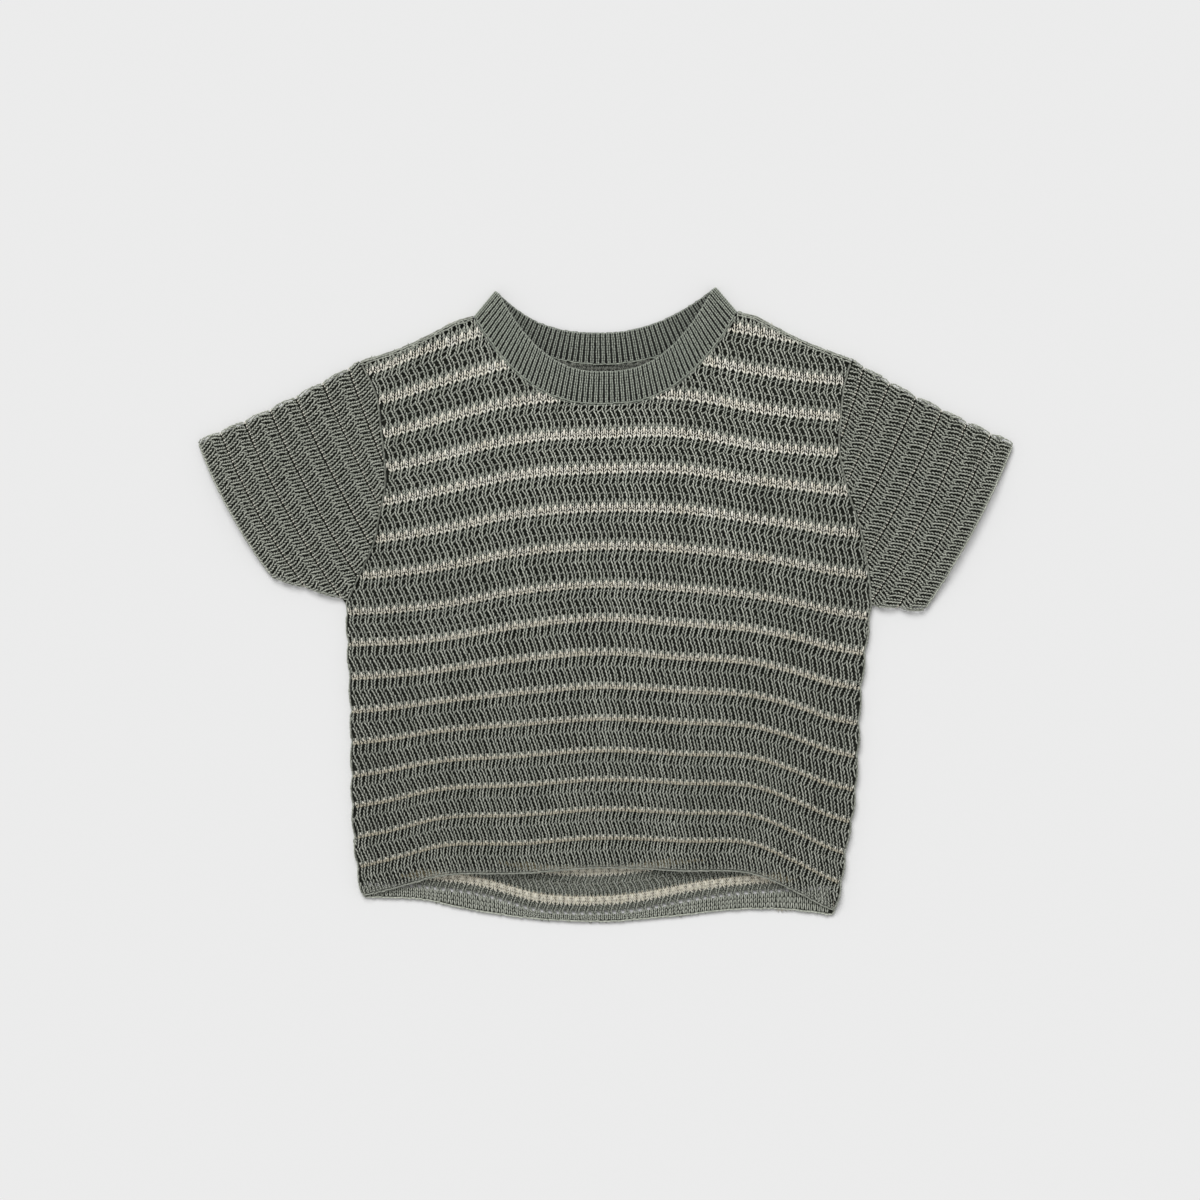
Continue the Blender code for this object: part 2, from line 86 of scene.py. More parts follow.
# Side seams: height, left x, right x
SIDE_SEAMS = np.array([
    (-178.0, -138.0, 131.0), (-162.0, -140.8, 135.1), (-141.0, -143.7, 138.0),
    (-120.0, -145.2, 142.0), (-86.0, -145.9, 144.9), (-51.0, -146.6, 146.6),
    (-17.0, -148.3, 150.4), (6.0, -148.6, 152.6),
])

# Armhole seams: height, x
ARMHOLES = {
    "left": np.array([
        (1.0, -149.0), (18.4, -140.8), (35.7, -133.2), (54.1, -129.6), (66.0, -126.8),
        (78.9, -126.7), (100.2, -129.0), (120.4, -131.8), (140.0, -140.8),
    ]),
    "right": np.array([
        (0.0, 152.8), (17.3, 151.2), (43.2, 146.6), (69.1, 138.4), (89.3, 134.4), (109.4, 135.4),
        (129.6, 138.0), (141.1, 141.2),
    ]),
}

# Shoulder seams between armhole and neck: x, height
SHOULDER_LEFT = np.array([(-140.8, 140.0), (-118.4, 147.2), (-90.7, 160.6), (-78.0, 167.3)])
SHOULDER_RIGHT = np.array([(78.0, 170.2), (89.0, 164.4), (109.7, 153.4), (141.2, 141.1)])

# Ripples of the front over the hem: at x, half width, rise
HEM_RIPPLES = ((-58.0, 34.0, 0.9), (12.0, 30.0, -0.7), (82.0, 32.0, 1.0))
HEM_RIPPLE_REACH = 70.0

# Back hem: x, height
BACK_HEM = np.array([
    (-138.6, -167.8), (-105.0, -169.3), (-77.0, -175.1), (-44.0, -180.0), (0.0, -181.8),
    (45.0, -178.2), (73.0, -175.1), (100.0, -174.6), (131.0, -178.0),
])

# Collar: half width, height of its ends, drop at the centre, fullness left and right
NECK_TILT = 0.018
NECK_EDGES = {
    "front": ((73.8, 165.4, 49.3, 2.5, 2.5), (61.3, 180.2, 46.0, 2.5, 2.5)),
    "back": ((73.8, 165.4, 26.6, 2.0, 2.0), (61.3, 180.2, 23.5, 2.7, 2.0)),
}
BAND_WIDTH = 19.5
RIBS = {"front": 59, "back": 48}
COLLAR_REST = 2.9
COLLAR_LIFT = 1.6
COLLAR_TILT = 1.3
NECK_CORNER = 3.0

# Corners of a sleeve: cuff at the top fold, cuff at the underarm, shoulder, underarm
SLEEVE_CORNERS = {
    "left": ((-235.2, 94.3), (-192.1, 15.6), (-141.4, 140.4), (-149.2, 2.6)),
    "right": ((235.2, 93.3), (183.2, -3.6), (141.8, 141.4), (153.4, -0.4)),
}
CUFF_BOW = 3.0
TOP_SAG = 1.8
SLEEVE_ROLL = 1.0
SLEEVE_RIPPLE = 1.4
CUFF_EDGE = 0.3
SLEEVE_FOLD = 1.1
SLEEVE_SWELL = 2.4

# ---------------------------------------------------------------------------- the openwork knit
# Stitches of a strand, down from a cream stripe: share of the band, place across in columns.
# The strands lean one way under the stripe and the other way over the next one.
STRAND = np.array([
    (0.155, 0.57), (0.225, 0.50), (0.30, 0.40), (0.375, 0.30), (0.45, 0.25), (0.535, 0.48),
    (0.615, 0.64), (0.70, 0.80), (0.785, 0.86), (0.875, 0.87), (0.965, 0.86),
])
STRAND_START = (0.08, 0.60)  # where the strand begins, if no cream lies over it
LOOSE_LOOP = (0.915, 0.865)  # its last loop, if that stands free, and where it turns
LOOP_TURN = 0.985
SLIT_STITCHES = ((0.12, 0.22), (0.38, 0.52), (0.80, 0.96))  # in the ends of a sleeve's slits
BAND_SHIFT = 0.33  # of a column, from each band to the one below
# Legs that bridge two strands, above and below the holes: from (across, down) to (across, down)
BRIDGES = (((0.24, 0.262), (-0.42, 0.315)), ((0.58, 0.645), (-0.12, 0.69)))
TURN_LEG = ((0.12, 0.405), (-0.58, 0.515))  # the long leg in which a strand turns
BRIDGE_SIZE = 0.9
BRIDGE_DROPS = (0.2, 0.25)  # of its ends
# Cream stitches: a cup hangs over each strand, its sides rising to peaks over the holes. Each side
# has two legs: (from the cup's middle in columns, down) three times
CUP_MIDDLE = 0.53
CUP = (
    ((0.43, -0.085), (0.42, 0.0), (0.41, 0.10)),
    ((0.41, 0.075), (0.35, 0.17), (0.0, 0.215)),
)
CUP_PEAK = (0.53, -0.13)  # where the left side of a cup ends, in place of its first point
FOLD_PEAK = ((0.03, -0.18), (0.0, -0.08), (0.03, 0.02))  # the peak that stands out of a fold
CUP_FILL = (-0.03, 0.045, 0.12, 0.185)
CREAM_LIGHT = 1.6  # pale yarn passes light on into its hollows
# The share of it that stays: in a cup's fill, at its foot, at a peak, and where the back shows
FILL_LIGHT, FOOT_LIGHT, PEAK_LIGHT = 0.78, 0.82, 1.1
BACK_CREAM_LIGHT, BACK_GAP_LIGHT = 0.68, 0.42
CUP_FOLD_SHADE, FILL_FOLD_SHADE = 0.36, 0.6  # and what a full fold takes of it
CUP_LEGS = (1.0, 0.8, 0.12)
PLAIN_STRAND = [0, 2, 4, 6, 8, 10]  # the strand's stations that a plain net keeps
PLAIN_CREAM = (-0.08, 0.14)  # its rows of cream stitches, on the wales below
PLAIN_WALES = (0.03, 0.53)
BACK_CREAM = (-0.12, -0.03, 0.06, 0.15)  # and those where the back shows
BACK_WALES, BACK_GAP_WALES = (0.03, 0.53), (0.28, 0.78)
FOLDED = 0.55  # the fold past which a stripe turns under
OVER_PEAK = ((0.82, 0.36), (0.885, 0.36), (0.95, 0.36))  # green stitches between hole and peak
UNDER_PEAK = ((0.10, 0.03), (0.18, 0.0))  # the cream one under it that shows in a fold
FILLING = ((0.17, 0.235, 0.30, 0.35, 0.395), (0.515, 0.60, 0.69, 0.77, 0.85))  # in its holes
LAST_FILLING = (0.395, 0.515)
# Lift in millimetres and light of the stitches that lie deeper than a strand
SLEEVE_TURN, SLIT_STITCH, END_STITCH = (-0.2, 0.7), (-0.35, 0.5), (-0.2, 0.72)
UNDER_STITCH, FILLING_STITCH = (-0.35, 0.55), (-0.4, 0.6)
# and of those to which a full fold adds the second pair
OVER_STITCH = ((-0.3, 0.7), (0.0, -0.1))
TURN_STITCH = ((-0.1, 0.48), (-0.35, -0.05))
BRIDGE_STITCH = ((-0.4, 0.36), (-0.6, -0.1))
CUP_LIFTS, CUP_RISE, PEAK_RISE = (0.0, 0.1), (-0.1, 0.2, -0.1), (0.1, 0.4, 0.1)
LOOP_LIFT, CUP_FILL_LIFT, BACK_CREAM_LIFT, BACK_GAP_LIFT = 0.1, -0.12, 0.1, -0.3
FILLED_END_LIGHT = 0.5

LEG_RADIUS = 0.48
UNEVEN = 0.09  # of a leg's radius
STRAND_LEGS = (0.80, 1.0, 0.06)  # from a strand's centre line to a leg's top, middle and foot
WIDE = 1.1  # of those, where a strand fills its column
LOOP_END = (0.95, 0.98, 0.3)
LOOP_LIGHT = 1.2
CREAM_LEGS = (1.0, 0.76, 0.12)
FILLING_LEGS = (0.5, 0.6, 0.05)
BACK_CREAM_LEGS = (1.15, 0.98, 0.25)
CREAM_SIZE, PEAK_SIZE = 0.88, 0.9  # of a leg's radius, and of that
LEG_OVERLAP = 0.24  # of a stitch, by which a leg runs on under the next one
TOP_OVERLAP = 0.6  # of that, by which it starts under the one before
LEG_ARCH = 0.42  # how far a leg's middle stands over its ends
JITTER = 0.1
TONES = 0.8  # how far the legs' tones differ


def smooth_curve(xs, ys, x):
    """A smooth curve through the table's points, read at x and held level past its ends."""
    slope = np.gradient(ys, xs)
    x = np.clip(x, xs[0], xs[-1])
    k = np.clip(np.searchsorted(xs, x) - 1, 0, len(xs) - 2)
    step = xs[k + 1] - xs[k]
    t = (x - xs[k]) / step
    start = ys[k] * (1 + 2 * t) * (1 - t) ** 2 + slope[k] * step * t * (1 - t) ** 2
    end = ys[k + 1] * (3 - 2 * t) * t**2 + slope[k + 1] * step * (t - 1) * t**2
    return start + end


def ease(t):
    t = np.clip(t, 0.0, 1.0)
    return t * t * (3 - 2 * t)


def course_height(number, x):
    """Height on the front of a course: a cream stripe at each whole number, from the hem up."""
    stripes = [stripe for stripe, _ in SAG]
    sag = 0.0
    for row, (_, drops) in enumerate(SAG):
        weight = np.interp(number, stripes, np.eye(len(SAG))[row])
        sag = sag + weight * smooth_curve(SAG_AT_X, drops, x)
    return np.interp(number, STRIPE_NUMBER, STRIPE_HEIGHT) - sag


def roll(number):
    """From 0 on a cream stripe to 1 in the middle of a band."""
    return np.sin(np.pi * (number % 1.0)) ** ROLL_SHAPE


def side_x(side, y, number=None):
    """The side seam at a height, with the ripple of the course if its number is given."""
    x = smooth_curve(SIDE_SEAMS[:, 0], SIDE_SEAMS[:, 1 if side == "left" else 2], y)
    if number is None:
        return x
    return x + OUTWARD[side] * SIDE_RIPPLE * (roll(number) - SIDE_RIPPLE_LEVEL)


def side_point(side, number):
    x = side_x(side, 0.0)
    for _ in range(8):
        y = course_height(number, x)
        x = side_x(side, y, number)
    return float(x), float(y)


def under_front(x, y):
    """Height of the front's underside: low at the seams, lifted in the middle."""
    from_left = ease((x - side_x("left", y)) / SIDE_FADE)
    from_right = ease((side_x("right", y) - x) / SIDE_FADE)
    left = np.interp(x, *SHOULDER_LEFT.T)
    right = np.interp(x, *SHOULDER_RIGHT.T)
    from_shoulder = ease((np.where(x > 0, right, left) - y) / SHOULDER_FADE)
    lift = FRONT_LIFT * from_left * from_right * from_shoulder
    over_hem = ease(1 - (y - STRIPE_HEIGHT[0]) / HEM_RIPPLE_REACH)
    ripples = sum(rise * ease(1 - np.abs(x - at) / half) for at, half, rise in HEM_RIPPLES)
    return BACK_WALL + LAYER_GAP + lift + over_hem * ripples


def front_top(x, y, number):
    height = np.interp(number, ROLL_AT_STRIPE, ROLL_HEIGHT) * roll(number)
    return under_front(x, y) + FRONT_WALL + height


def evenly(path, count=0, step=0.0):
    """Points evenly spaced in plan along a path: so many of them, or about a step apart."""
    length = np.concatenate([[0.0], np.cumsum(np.hypot(*np.diff(path[:, :2], axis=0).T))])
    at = np.linspace(0.0, length[-1], count or max(2, int(length[-1] / step)) + 1)
    return np.stack([np.interp(at, length, row) for row in path.T], 1)


def neck_edge(face, share, count):
    """Evenly spaced points, left to right, along the collar band: 0 on the seam, 1 on the edge."""
    seam, free = (np.array(edge) for edge in NECK_EDGES[face])
    half, ends, drop, full_left, full_right = seam + (free - seam) * share
    x = np.linspace(-half, half, 400)
    fullness = np.where(x < 0, full_left, full_right)
    y = ends + NECK_TILT * x - drop * (1 - np.abs(x / half) ** fullness)
    return evenly(np.stack([x, y], 1), count)


def collar_tip(side, share):
    return neck_edge("front", share, 2)[0 if side == "left" else -1]


def fold_direction(side):
    """The way out of the collar's side fold, square to its band."""
    band = collar_tip(side, 1.0) - collar_tip(side, 0.0)
    square = OUTWARD[side] * np.array([band[1], -band[0]])
    return square / np.hypot(*square)


def neck_line(face):
    line = neck_edge(face, -SEAM_GAP / BAND_WIDTH, 33)[::-1]
    left, right = fold_direction("left"), fold_direction("right")
    return [line[0] + NECK_CORNER * right, *line, line[-1] + NECK_CORNER * left]


def even_steps(table, step):
    count = max(2, round(abs(table[-1, 0] - table[0, 0]) / step) + 1)
    first = np.linspace(table[0, 0], table[-1, 0], count)
    return np.stack([first, smooth_curve(*table.T, first)], 1)


ARMHOLE_STEP, SHOULDER_STEP, HEM_STEP = 4.0, 8.0, 4.0
SEAM_COURSES = np.arange(0.1, 9.0, 0.1)


def body_outline(face, hem=None):
    """A body panel's outline, anticlockwise from the left end of its hem or of another one."""
    if hem is None:
        hem = front_hem() if face == "front" else even_steps(BACK_HEM, HEM_STEP)
    edges = []
    for side, shoulder in (("right", SHOULDER_RIGHT), ("left", SHOULDER_LEFT)):
        hole = even_steps(ARMHOLES[side], ARMHOLE_STEP)[:, ::-1]
        seam = [side_point(side, number) for number in SEAM_COURSES]
        seam = [place for place in seam if place[1] < hole[0][1]]
        edges.append((seam, hole, even_steps(shoulder, SHOULDER_STEP)[-2:0:-1]))
    (seam, hole, shoulder), (left_seam, left_hole, left_shoulder) = edges
    path = [*hem, *seam, *hole, *shoulder, *neck_line(face)]
    path += [*left_shoulder, *left_hole[::-1], *left_seam[::-1]]
    return np.array([(float(x), float(y)) for x, y in path])


def front_hem():
    left, right = side_point("left", 0.0), side_point("right", 0.0)
    xs = np.linspace(left[0], right[0], 90)
    return np.stack([xs, course_height(0.0, xs)], 1)


def inside(points, outline, clearance=0.0):
    """Which plan points lie inside an outline, and clear of its edge."""
    a, b = outline, np.roll(outline, -1, axis=0)
    x, y = points[:, :1], points[:, 1:2]
    spans = (a[:, 1] > y) != (b[:, 1] > y)
    rise = np.where(b[:, 1] == a[:, 1], 1.0, b[:, 1] - a[:, 1])
    crossing = a[:, 0] + (y - a[:, 1]) / rise * (b[:, 0] - a[:, 0])
    within = (spans & (x < crossing)).sum(1) % 2 == 1
    if clearance:
        edge = b - a
        long = (edge**2).sum(1)
        share = ((x - a[:, 0]) * edge[:, 0] + (y - a[:, 1]) * edge[:, 1]) / long
        share = np.clip(share, 0.0, 1.0)
        away = np.hypot(x - a[:, 0] - share * edge[:, 0], y - a[:, 1] - share * edge[:, 1])
        within &= away.min(1) > clearance
    return within


# --------------------------------------------------------------------------------- stitch legs
TURNS = np.radians([90.0, 200.0, 340.0])  # a leg has three sides, its ridge facing out
RING_AT = (0.0, 0.25, 0.78, 1.0)
LIGHT_ON_LEG = (0.5, 1.0, 0.36, 0.36, 1.0, 0.36, 0.36, 0.5)  # its tips and sides are shaded
LEG_FACES = ((0, 1, 2), (0, 2, 3), (0, 3, 1), (1, 4, 5, 2), (2, 5, 6, 3), (3, 6, 4, 1))
LEG_FACES += ((5, 4, 7), (6, 5, 7), (4, 6, 7))
LOW_FACES = (1, 4, 7)  # the leg's underside, which is kept in a narrow strip of the bake map
STRIP, STRIP_END = 0.03, 0.04
MAP_LEAN, MAP_EDGE, HALF_MAP = 0.05, 0.002, 0.49
GREEN, CREAM = 0, 1
UP, DOWN = (0.0, 0.0, 1.0), (0.0, 0.0, -1.0)


class Yarn:
    """The stitch legs of one piece, gathered before one mesh is made of them."""

    def __init__(self):
        self.parts = []

    def add(self, line, up, radius, colour, tone, shade=1.0):
        """Legs along lines of three points each: line (n, 3, 3), up (n, 3) or one way for all.

        shade is painted shade: it takes down the light painted on a leg in a covered place.
        """
        count = len(line)
        if not count:
            return
        start, middle, end = line[:, 0], line[:, 1], line[:, 2]
        bend = middle * 2 - (start + end) / 2
        along = [start * (1 - t) ** 2 + bend * 2 * t * (1 - t) + end * t * t for t in RING_AT]
        along = np.stack(along, 1)
        way = end - start
        way /= np.linalg.norm(way, axis=1, keepdims=True)
        across = np.cross(way, up)
        across /= np.linalg.norm(across, axis=1, keepdims=True)
        out = np.cross(across, way)
        size = np.broadcast_to(np.asarray(radius, float), (count,))[:, None, None]
        spokes = np.cos(TURNS)[None, :, None] * across[:, None] * size
        spokes = spokes + np.sin(TURNS)[None, :, None] * out[:, None] * size
        rings = [along[:, 1:2] + spokes, along[:, 2:3] + spokes]
        points = np.concatenate([along[:, :1], *rings, along[:, 3:]], 1)
        looks = [np.broadcast_to(value, (count,)) for value in (colour, tone, shade)]
        self.parts.append((points, *looks, np.broadcast_to(up, (count, 3))[:, 2] < 0))

    def add_leg(self, leg, kept, points, up, tone, shade):
        """The kept ones of a kind of leg, laid at points."""
        self.add(points[kept], up, leg.radius[kept], leg.colour[kept], tone[kept], shade[kept])

    def keep(self, chosen):
        """A new gathering of the legs whose middles the function chosen keeps."""
        kept = Yarn()
        for part in self.parts:
            mask = chosen(part[0].mean(1))
            kept.parts.append([values[mask] for values in part])
        return kept

    def mesh(self, name, materials):
        """One object from all the legs, with its bake map, its tone attribute and the attribute of
        painted light that paints shade into its colour.
        """
        points, colour, tone, shade, down = (np.concatenate(part) for part in zip(*self.parts))
        legs, faces = len(points), len(LEG_FACES)
        loops = np.concatenate(LEG_FACES)
        sizes = np.array([len(face) for face in LEG_FACES])
        starts = np.concatenate([[0], np.cumsum(sizes)[:-1]])
        flat = points.reshape(-1, 3).copy()
        flat[:, :2] -= CENTRE
        flat *= MM
        mesh = bpy.data.meshes.new(name)
        mesh.vertices.add(len(flat))
        mesh.vertices.foreach_set("co", flat.astype(np.float32).ravel())
        mesh.loops.add(legs * len(loops))
        at = (np.arange(legs)[:, None] * 8 + loops).ravel()
        mesh.loops.foreach_set("vertex_index", at.astype(np.int32))
        mesh.polygons.add(legs * faces)
        first = (np.arange(legs)[:, None] * len(loops) + starts).ravel()
        mesh.polygons.foreach_set("loop_start", first.astype(np.int32))
        mesh.polygons.foreach_set("use_smooth", np.ones(legs * faces, bool))
        mesh.polygons.foreach_set("material_index", np.repeat(colour, faces).astype(np.int32))
        mesh.update(calc_edges=True)
        # Painted shade: the light on each leg's tips and sides, times the shade of its place, goes
        # into its colour
        painted_light = np.tile(LIGHT_ON_LEG, legs) * np.repeat(shade, 8)
        set_looks(mesh, painted_light, np.repeat(tone, 8))
        low, high = flat.min(0), flat.max(0)
        plan = (flat[:, :2] + MAP_LEAN * flat[:, 2:] - low[:2]) / (high[:2] - low[:2] + MAP_EDGE)
        places = np.clip(plan, 0.0, 1.0)[at]
        under = np.tile(np.repeat(np.isin(np.arange(faces), LOW_FACES), sizes), legs)
        above = STRIP_END + places[:, 1] * (1.0 - STRIP_END)
        places[:, 1] = np.where(under, places[:, 1] * STRIP, above)
        if down.any() and not down.all():
            places[:, 0] = places[:, 0] * HALF_MAP + 0.5 * np.repeat(down, len(loops))
        layer = mesh.uv_layers.new(name="OFBake")
        layer.data.foreach_set("uv", places.astype(np.float32).ravel())
        for material in materials:
            mesh.materials.append(material)
        return put_in_scene(name, mesh)


def set_looks(mesh, painted_light, tone):
    """Each vertex's painted light, which darkens the cotton's colour as painted shade, and its
    tone.
    """
    for label, values in (("painted_light", painted_light), ("tone", tone)):
        attribute = mesh.attributes.new(label, "FLOAT", "POINT")
        attribute.data.foreach_set("value", values.astype(np.float32))


def put_in_scene(name, data, location=(0.0, 0.0, 0.0)):
    """A new object for a mesh, a camera or a light."""
    piece = bpy.data.objects.new(name, data)
    piece.location = location
    bpy.context.scene.collection.objects.link(piece)
    return piece


class Leg:
    """One kind of leg in every cell: three points of (across, down, lift), and its looks."""

    def __init__(self, line, radius, colour, shade, shown):
        self.line, self.radius = line, radius
        self.colour, self.shade, self.shown = colour, shade, shown


def cells(columns, bands, turned=1.0):
    """Column, shifted from band to band, and band of every cell of an openwork net."""
    grid = np.meshgrid(np.arange(*columns), np.arange(*bands))
    columns, bands = (places.ravel().astype(float) for places in grid)
    return columns - turned * (BAND_SHIFT * bands) % 1.0, bands


def jitter(legs, size=JITTER, axes=1.0):
    """How far each of many legs lies off its place, as a whole."""
    return RANDOM.normal(0.0, size, (len(legs), 1, 3)) * axes


def tones(legs, size=TONES):
    return RANDOM.normal(0.0, size, len(legs))


def down_wale(downs, wale):
    """Stations of a chain straight down one wale."""
    return [(down, wale) for down in downs]


def strand_at(downs):
    """Where the hole beside a strand lies, at places down the band."""
    return np.interp(downs, STRAND[:, 0], STRAND[:, 1]) - 0.5


def stitch_legs(pitch, fold, plain=False, striped=True, filled=None):
    """Legs of the openwork for many cells.

    pitch is each cell's width in millimetres. fold says from 0 to 1 how far the cloth turns under
    at the cell's stripe, which draws the holes out to slits between strands. A plain net, for
    layers that are hidden, has the same holes between fewer, longer stitches. Without stripes the
    strands end in loops of their own. filled says, where the holes have stitches in them, which
    cells have them all.
    """
    count = len(pitch)
    fold = np.broadcast_to(fold, (count,))
    everywhere = np.ones(count, bool)
    legs = []

    def leg(points, radius, colour, shade=1.0, shown=everywhere):
        rows = []
        for across, aside, down, lift in points:
            row = [across + aside / pitch, np.full(count, down), lift + np.zeros(count)]
            rows.append(np.stack(row, 1))
        radii = radius * (1.0 + RANDOM.normal(0.0, UNEVEN, count))
        looks = [np.broadcast_to(value, (count,)) for value in (colour, shade)]
        legs.append(Leg(np.stack(rows, 1), radii, *looks, shown))

    def chain(stations, asides, radius, colour, lift, shade=1.0, shown=everywhere):
        """Stitches down a wale, a left leg and a right leg each, which meet in a V."""
        top, belly, foot = asides
        for (d0, u0), (d1, u1) in zip(stations, stations[1:]):
            over = (d1 - d0) * LEG_OVERLAP
            middle = (u0 + u1) / 2
            for side in (-1.0, 1.0):
                points = (
                    (u0, side * top, d0 - over * TOP_OVERLAP, lift - LEG_ARCH / 2),
                    (middle, side * belly, (d0 + d1) / 2, lift + LEG_ARCH / 2),
                    (u1, side * foot, d1 + over, lift - LEG_ARCH / 2),
                )
                leg(points, radius, colour, shade, shown)

    def bridge(ends, lift, shade, shown=everywhere):
        (u0, d0), (u1, d1) = ends
        first, last = (lift - drop for drop in BRIDGE_DROPS)
        middle = ((u0 + u1) / 2, 0.0, (d0 + d1) / 2, lift)
        points = ((u0, 0.0, d0, first), middle, (u1, 0.0, d1, last))
        leg(points, LEG_RADIUS * BRIDGE_SIZE, GREEN, shade, shown)

    def folded_in(stitch):
        (lift, light), (more_lift, more_light) = stitch
        return lift + more_lift * fold, light + more_light * fold

    strand = [tuple(row) for row in (STRAND[PLAIN_STRAND] if plain else STRAND)]
    if plain:
        chain(strand, STRAND_LEGS, LEG_RADIUS, GREEN, 0.0)
        for wale in PLAIN_WALES:
            chain(down_wale(PLAIN_CREAM, wale), CREAM_LEGS, LEG_RADIUS, CREAM, 0.0)
        return legs
    if not striped:
        wide = [aside * WIDE for aside in STRAND_LEGS]
        chain([STRAND_START, *strand[:-1], LOOSE_LOOP], wide, LEG_RADIUS, GREEN, 0.0)
        turn = [LOOSE_LOOP, (LOOP_TURN, LOOSE_LOOP[1])]
        chain(turn, LOOP_END, LEG_RADIUS, CREAM, LOOP_LIFT, LOOP_LIGHT)
        bridge(TURN_LEG, *SLEEVE_TURN)
        for ends in SLIT_STITCHES:
            bridge(list(zip(strand_at(ends), ends)), *SLIT_STITCH)
        return legs
    folded = fold > FOLDED
    laid_open = everywhere if filled is None else filled
    end_colour, end_light = (GREEN, 1.0) if filled is None else (CREAM, FILLED_END_LIGHT)
    chain(strand[:-1], STRAND_LEGS, LEG_RADIUS, GREEN, 0.0)
    lift, light = END_STITCH
    chain(strand[-2:], STRAND_LEGS, LEG_RADIUS, end_colour, lift, end_light * light)
    lift, light = folded_in(OVER_STITCH)
    chain(OVER_PEAK, STRAND_LEGS, LEG_RADIUS, end_colour, lift, end_light * light)
    chain(UNDER_PEAK, STRAND_LEGS, LEG_RADIUS, CREAM, *UNDER_STITCH, folded)
    bridge(TURN_LEG, *folded_in(TURN_STITCH), laid_open)
    for ends in BRIDGES:
        bridge(ends, *folded_in(BRIDGE_STITCH), ~folded)
    if filled is not None:
        for stretch in (*FILLING, LAST_FILLING):
            stations = list(zip(stretch, strand_at(stretch)))
            shown = filled if stretch is LAST_FILLING else everywhere
            chain(stations, FILLING_LEGS, LEG_RADIUS, GREEN, *FILLING_STITCH, shown)
    radius = LEG_RADIUS * CREAM_SIZE
    for part, lift in zip(CUP, CUP_LIFTS):
        for side in (-1.0, 1.0):
            places = [CUP_PEAK, *part[1:]] if part is CUP[0] and side < 0 else part
            points = [
                (CUP_MIDDLE + side * out, 0.0, down, lift + rise)
                for (out, down), rise in zip(places, CUP_RISE)
            ]
            light = CREAM_LIGHT if part is CUP[0] else CREAM_LIGHT * FOOT_LIGHT
            leg(points, radius, CREAM, light * (1.0 - CUP_FOLD_SHADE * fold))
    points = [(across, 0.0, down, rise) for (across, down), rise in zip(FOLD_PEAK, PEAK_RISE)]
    leg(points, radius * PEAK_SIZE, CREAM, CREAM_LIGHT * PEAK_LIGHT, folded)
    if filled is None:
        light = CREAM_LIGHT * FILL_LIGHT * (1.0 - FILL_FOLD_SHADE * fold)
        chain(down_wale(CUP_FILL, CUP_MIDDLE), CUP_LEGS, radius, CREAM, CUP_FILL_LIFT, light)
        return legs
    for wales, lift, share in (
        (BACK_WALES, BACK_CREAM_LIFT, BACK_CREAM_LIGHT),
        (BACK_GAP_WALES, BACK_GAP_LIFT, BACK_GAP_LIGHT),
    ):
        for wale in wales:
            stations = down_wale(BACK_CREAM, wale)
            chain(stations, BACK_CREAM_LEGS, radius, CREAM, lift, CREAM_LIGHT * share)
    return legs


WAVES, WAVE_SIZES = 5, (0.6, 1.6)  # in soft noise, and their sizes against its own


def soft_noise(x, y, scale, seed):
    """Smooth noise from about -1 to 1 over the plan."""
    pick = np.random.default_rng(seed)
    total = np.zeros_like(x)
    for _ in range(WAVES):
        angle, phase = pick.uniform(0, 2 * np.pi, 2)
        size = pick.uniform(*WAVE_SIZES) * scale
        total += np.sin((x * np.cos(angle) + y * np.sin(angle)) * 2 * np.pi / size + phase)
    return total / (WAVES / 2)


# ------------------------------------------------------------------------------- the body's map
# Column pitch: at stripe number, in the middle of the shirt
PITCH_AT_STRIPE = np.array([0.0, 3.0, 6.0, 9.0, 13.0])
PITCH = np.array([3.72, 3.85, 4.05, 4.25, 4.5])
SPREAD_AT_STRIPE = np.array([0.0, 4.0, 9.0, 17.0])
SPREAD = np.array([0.0001, 0.0003, 0.0009, 0.0009])  # how the pitch grows to the right
MIDDLE = -1.0  # x of the middle column
SQUEEZE_AT_STRIPE = np.array([0.0, 4.0, 9.0, 12.0])
SQUEEZE = np.array([0.66, 0.56, 0.25, 0.0])  # how far the bands' folds swallow their stripes
LOWER_SHADE = 0.46  # the light that such a fold takes from its band
SIDE_SHADE, HALF_WIDTH = 0.13, 140.0  # and what is lost towards the side seams
OPEN_LIGHT = 1.05  # on the front where it isn't folded
FOLD_SHADOW, FOLD_SHADOW_AT = 1.1, 0.18  # of a fold on its own band, and how far down that lies
SHADOW_SIZE = 0.04
FIRST_COURSE, LAST_COURSE = 0.04, 17.0  # between which the panels have stitches
EDGE_CLEARANCE = 0.45
DRIFT, DRIFT_SIZE = 0.5, 38.0  # how far patches of stitches lie off their wales
FRONT_JITTER = np.array([1.0, 1.0, 0.6])  # of JITTER, along x, y and z
FLAT_JITTER = np.array([1.0, 1.0, 0.4])  # and on the other pieces
CELL_TONES = LEG_TONES = 0.6  # how far the tones of the cells, and of the legs in each, differ


def column_x(column, number):
    spread = np.interp(number, SPREAD_AT_STRIPE, SPREAD)
    pitch = np.interp(number, PITCH_AT_STRIPE, PITCH)
    return MIDDLE + pitch * (column + spread * column * np.abs(column))


def squeezed(down, amount):
    """Where a course shows in its band, when the fold takes some of the stripe in."""
    return down - amount * np.sin(2 * np.pi * down) / (2 * np.pi)


def in_stripe_shadow(down, amount, at):
    """Light left on a course: the cloth turns under just below a cream stripe."""
    return 1.0 - amount * np.exp(-(((down % 1.0) - at) ** 2) / (2 * SHADOW_SIZE**2))


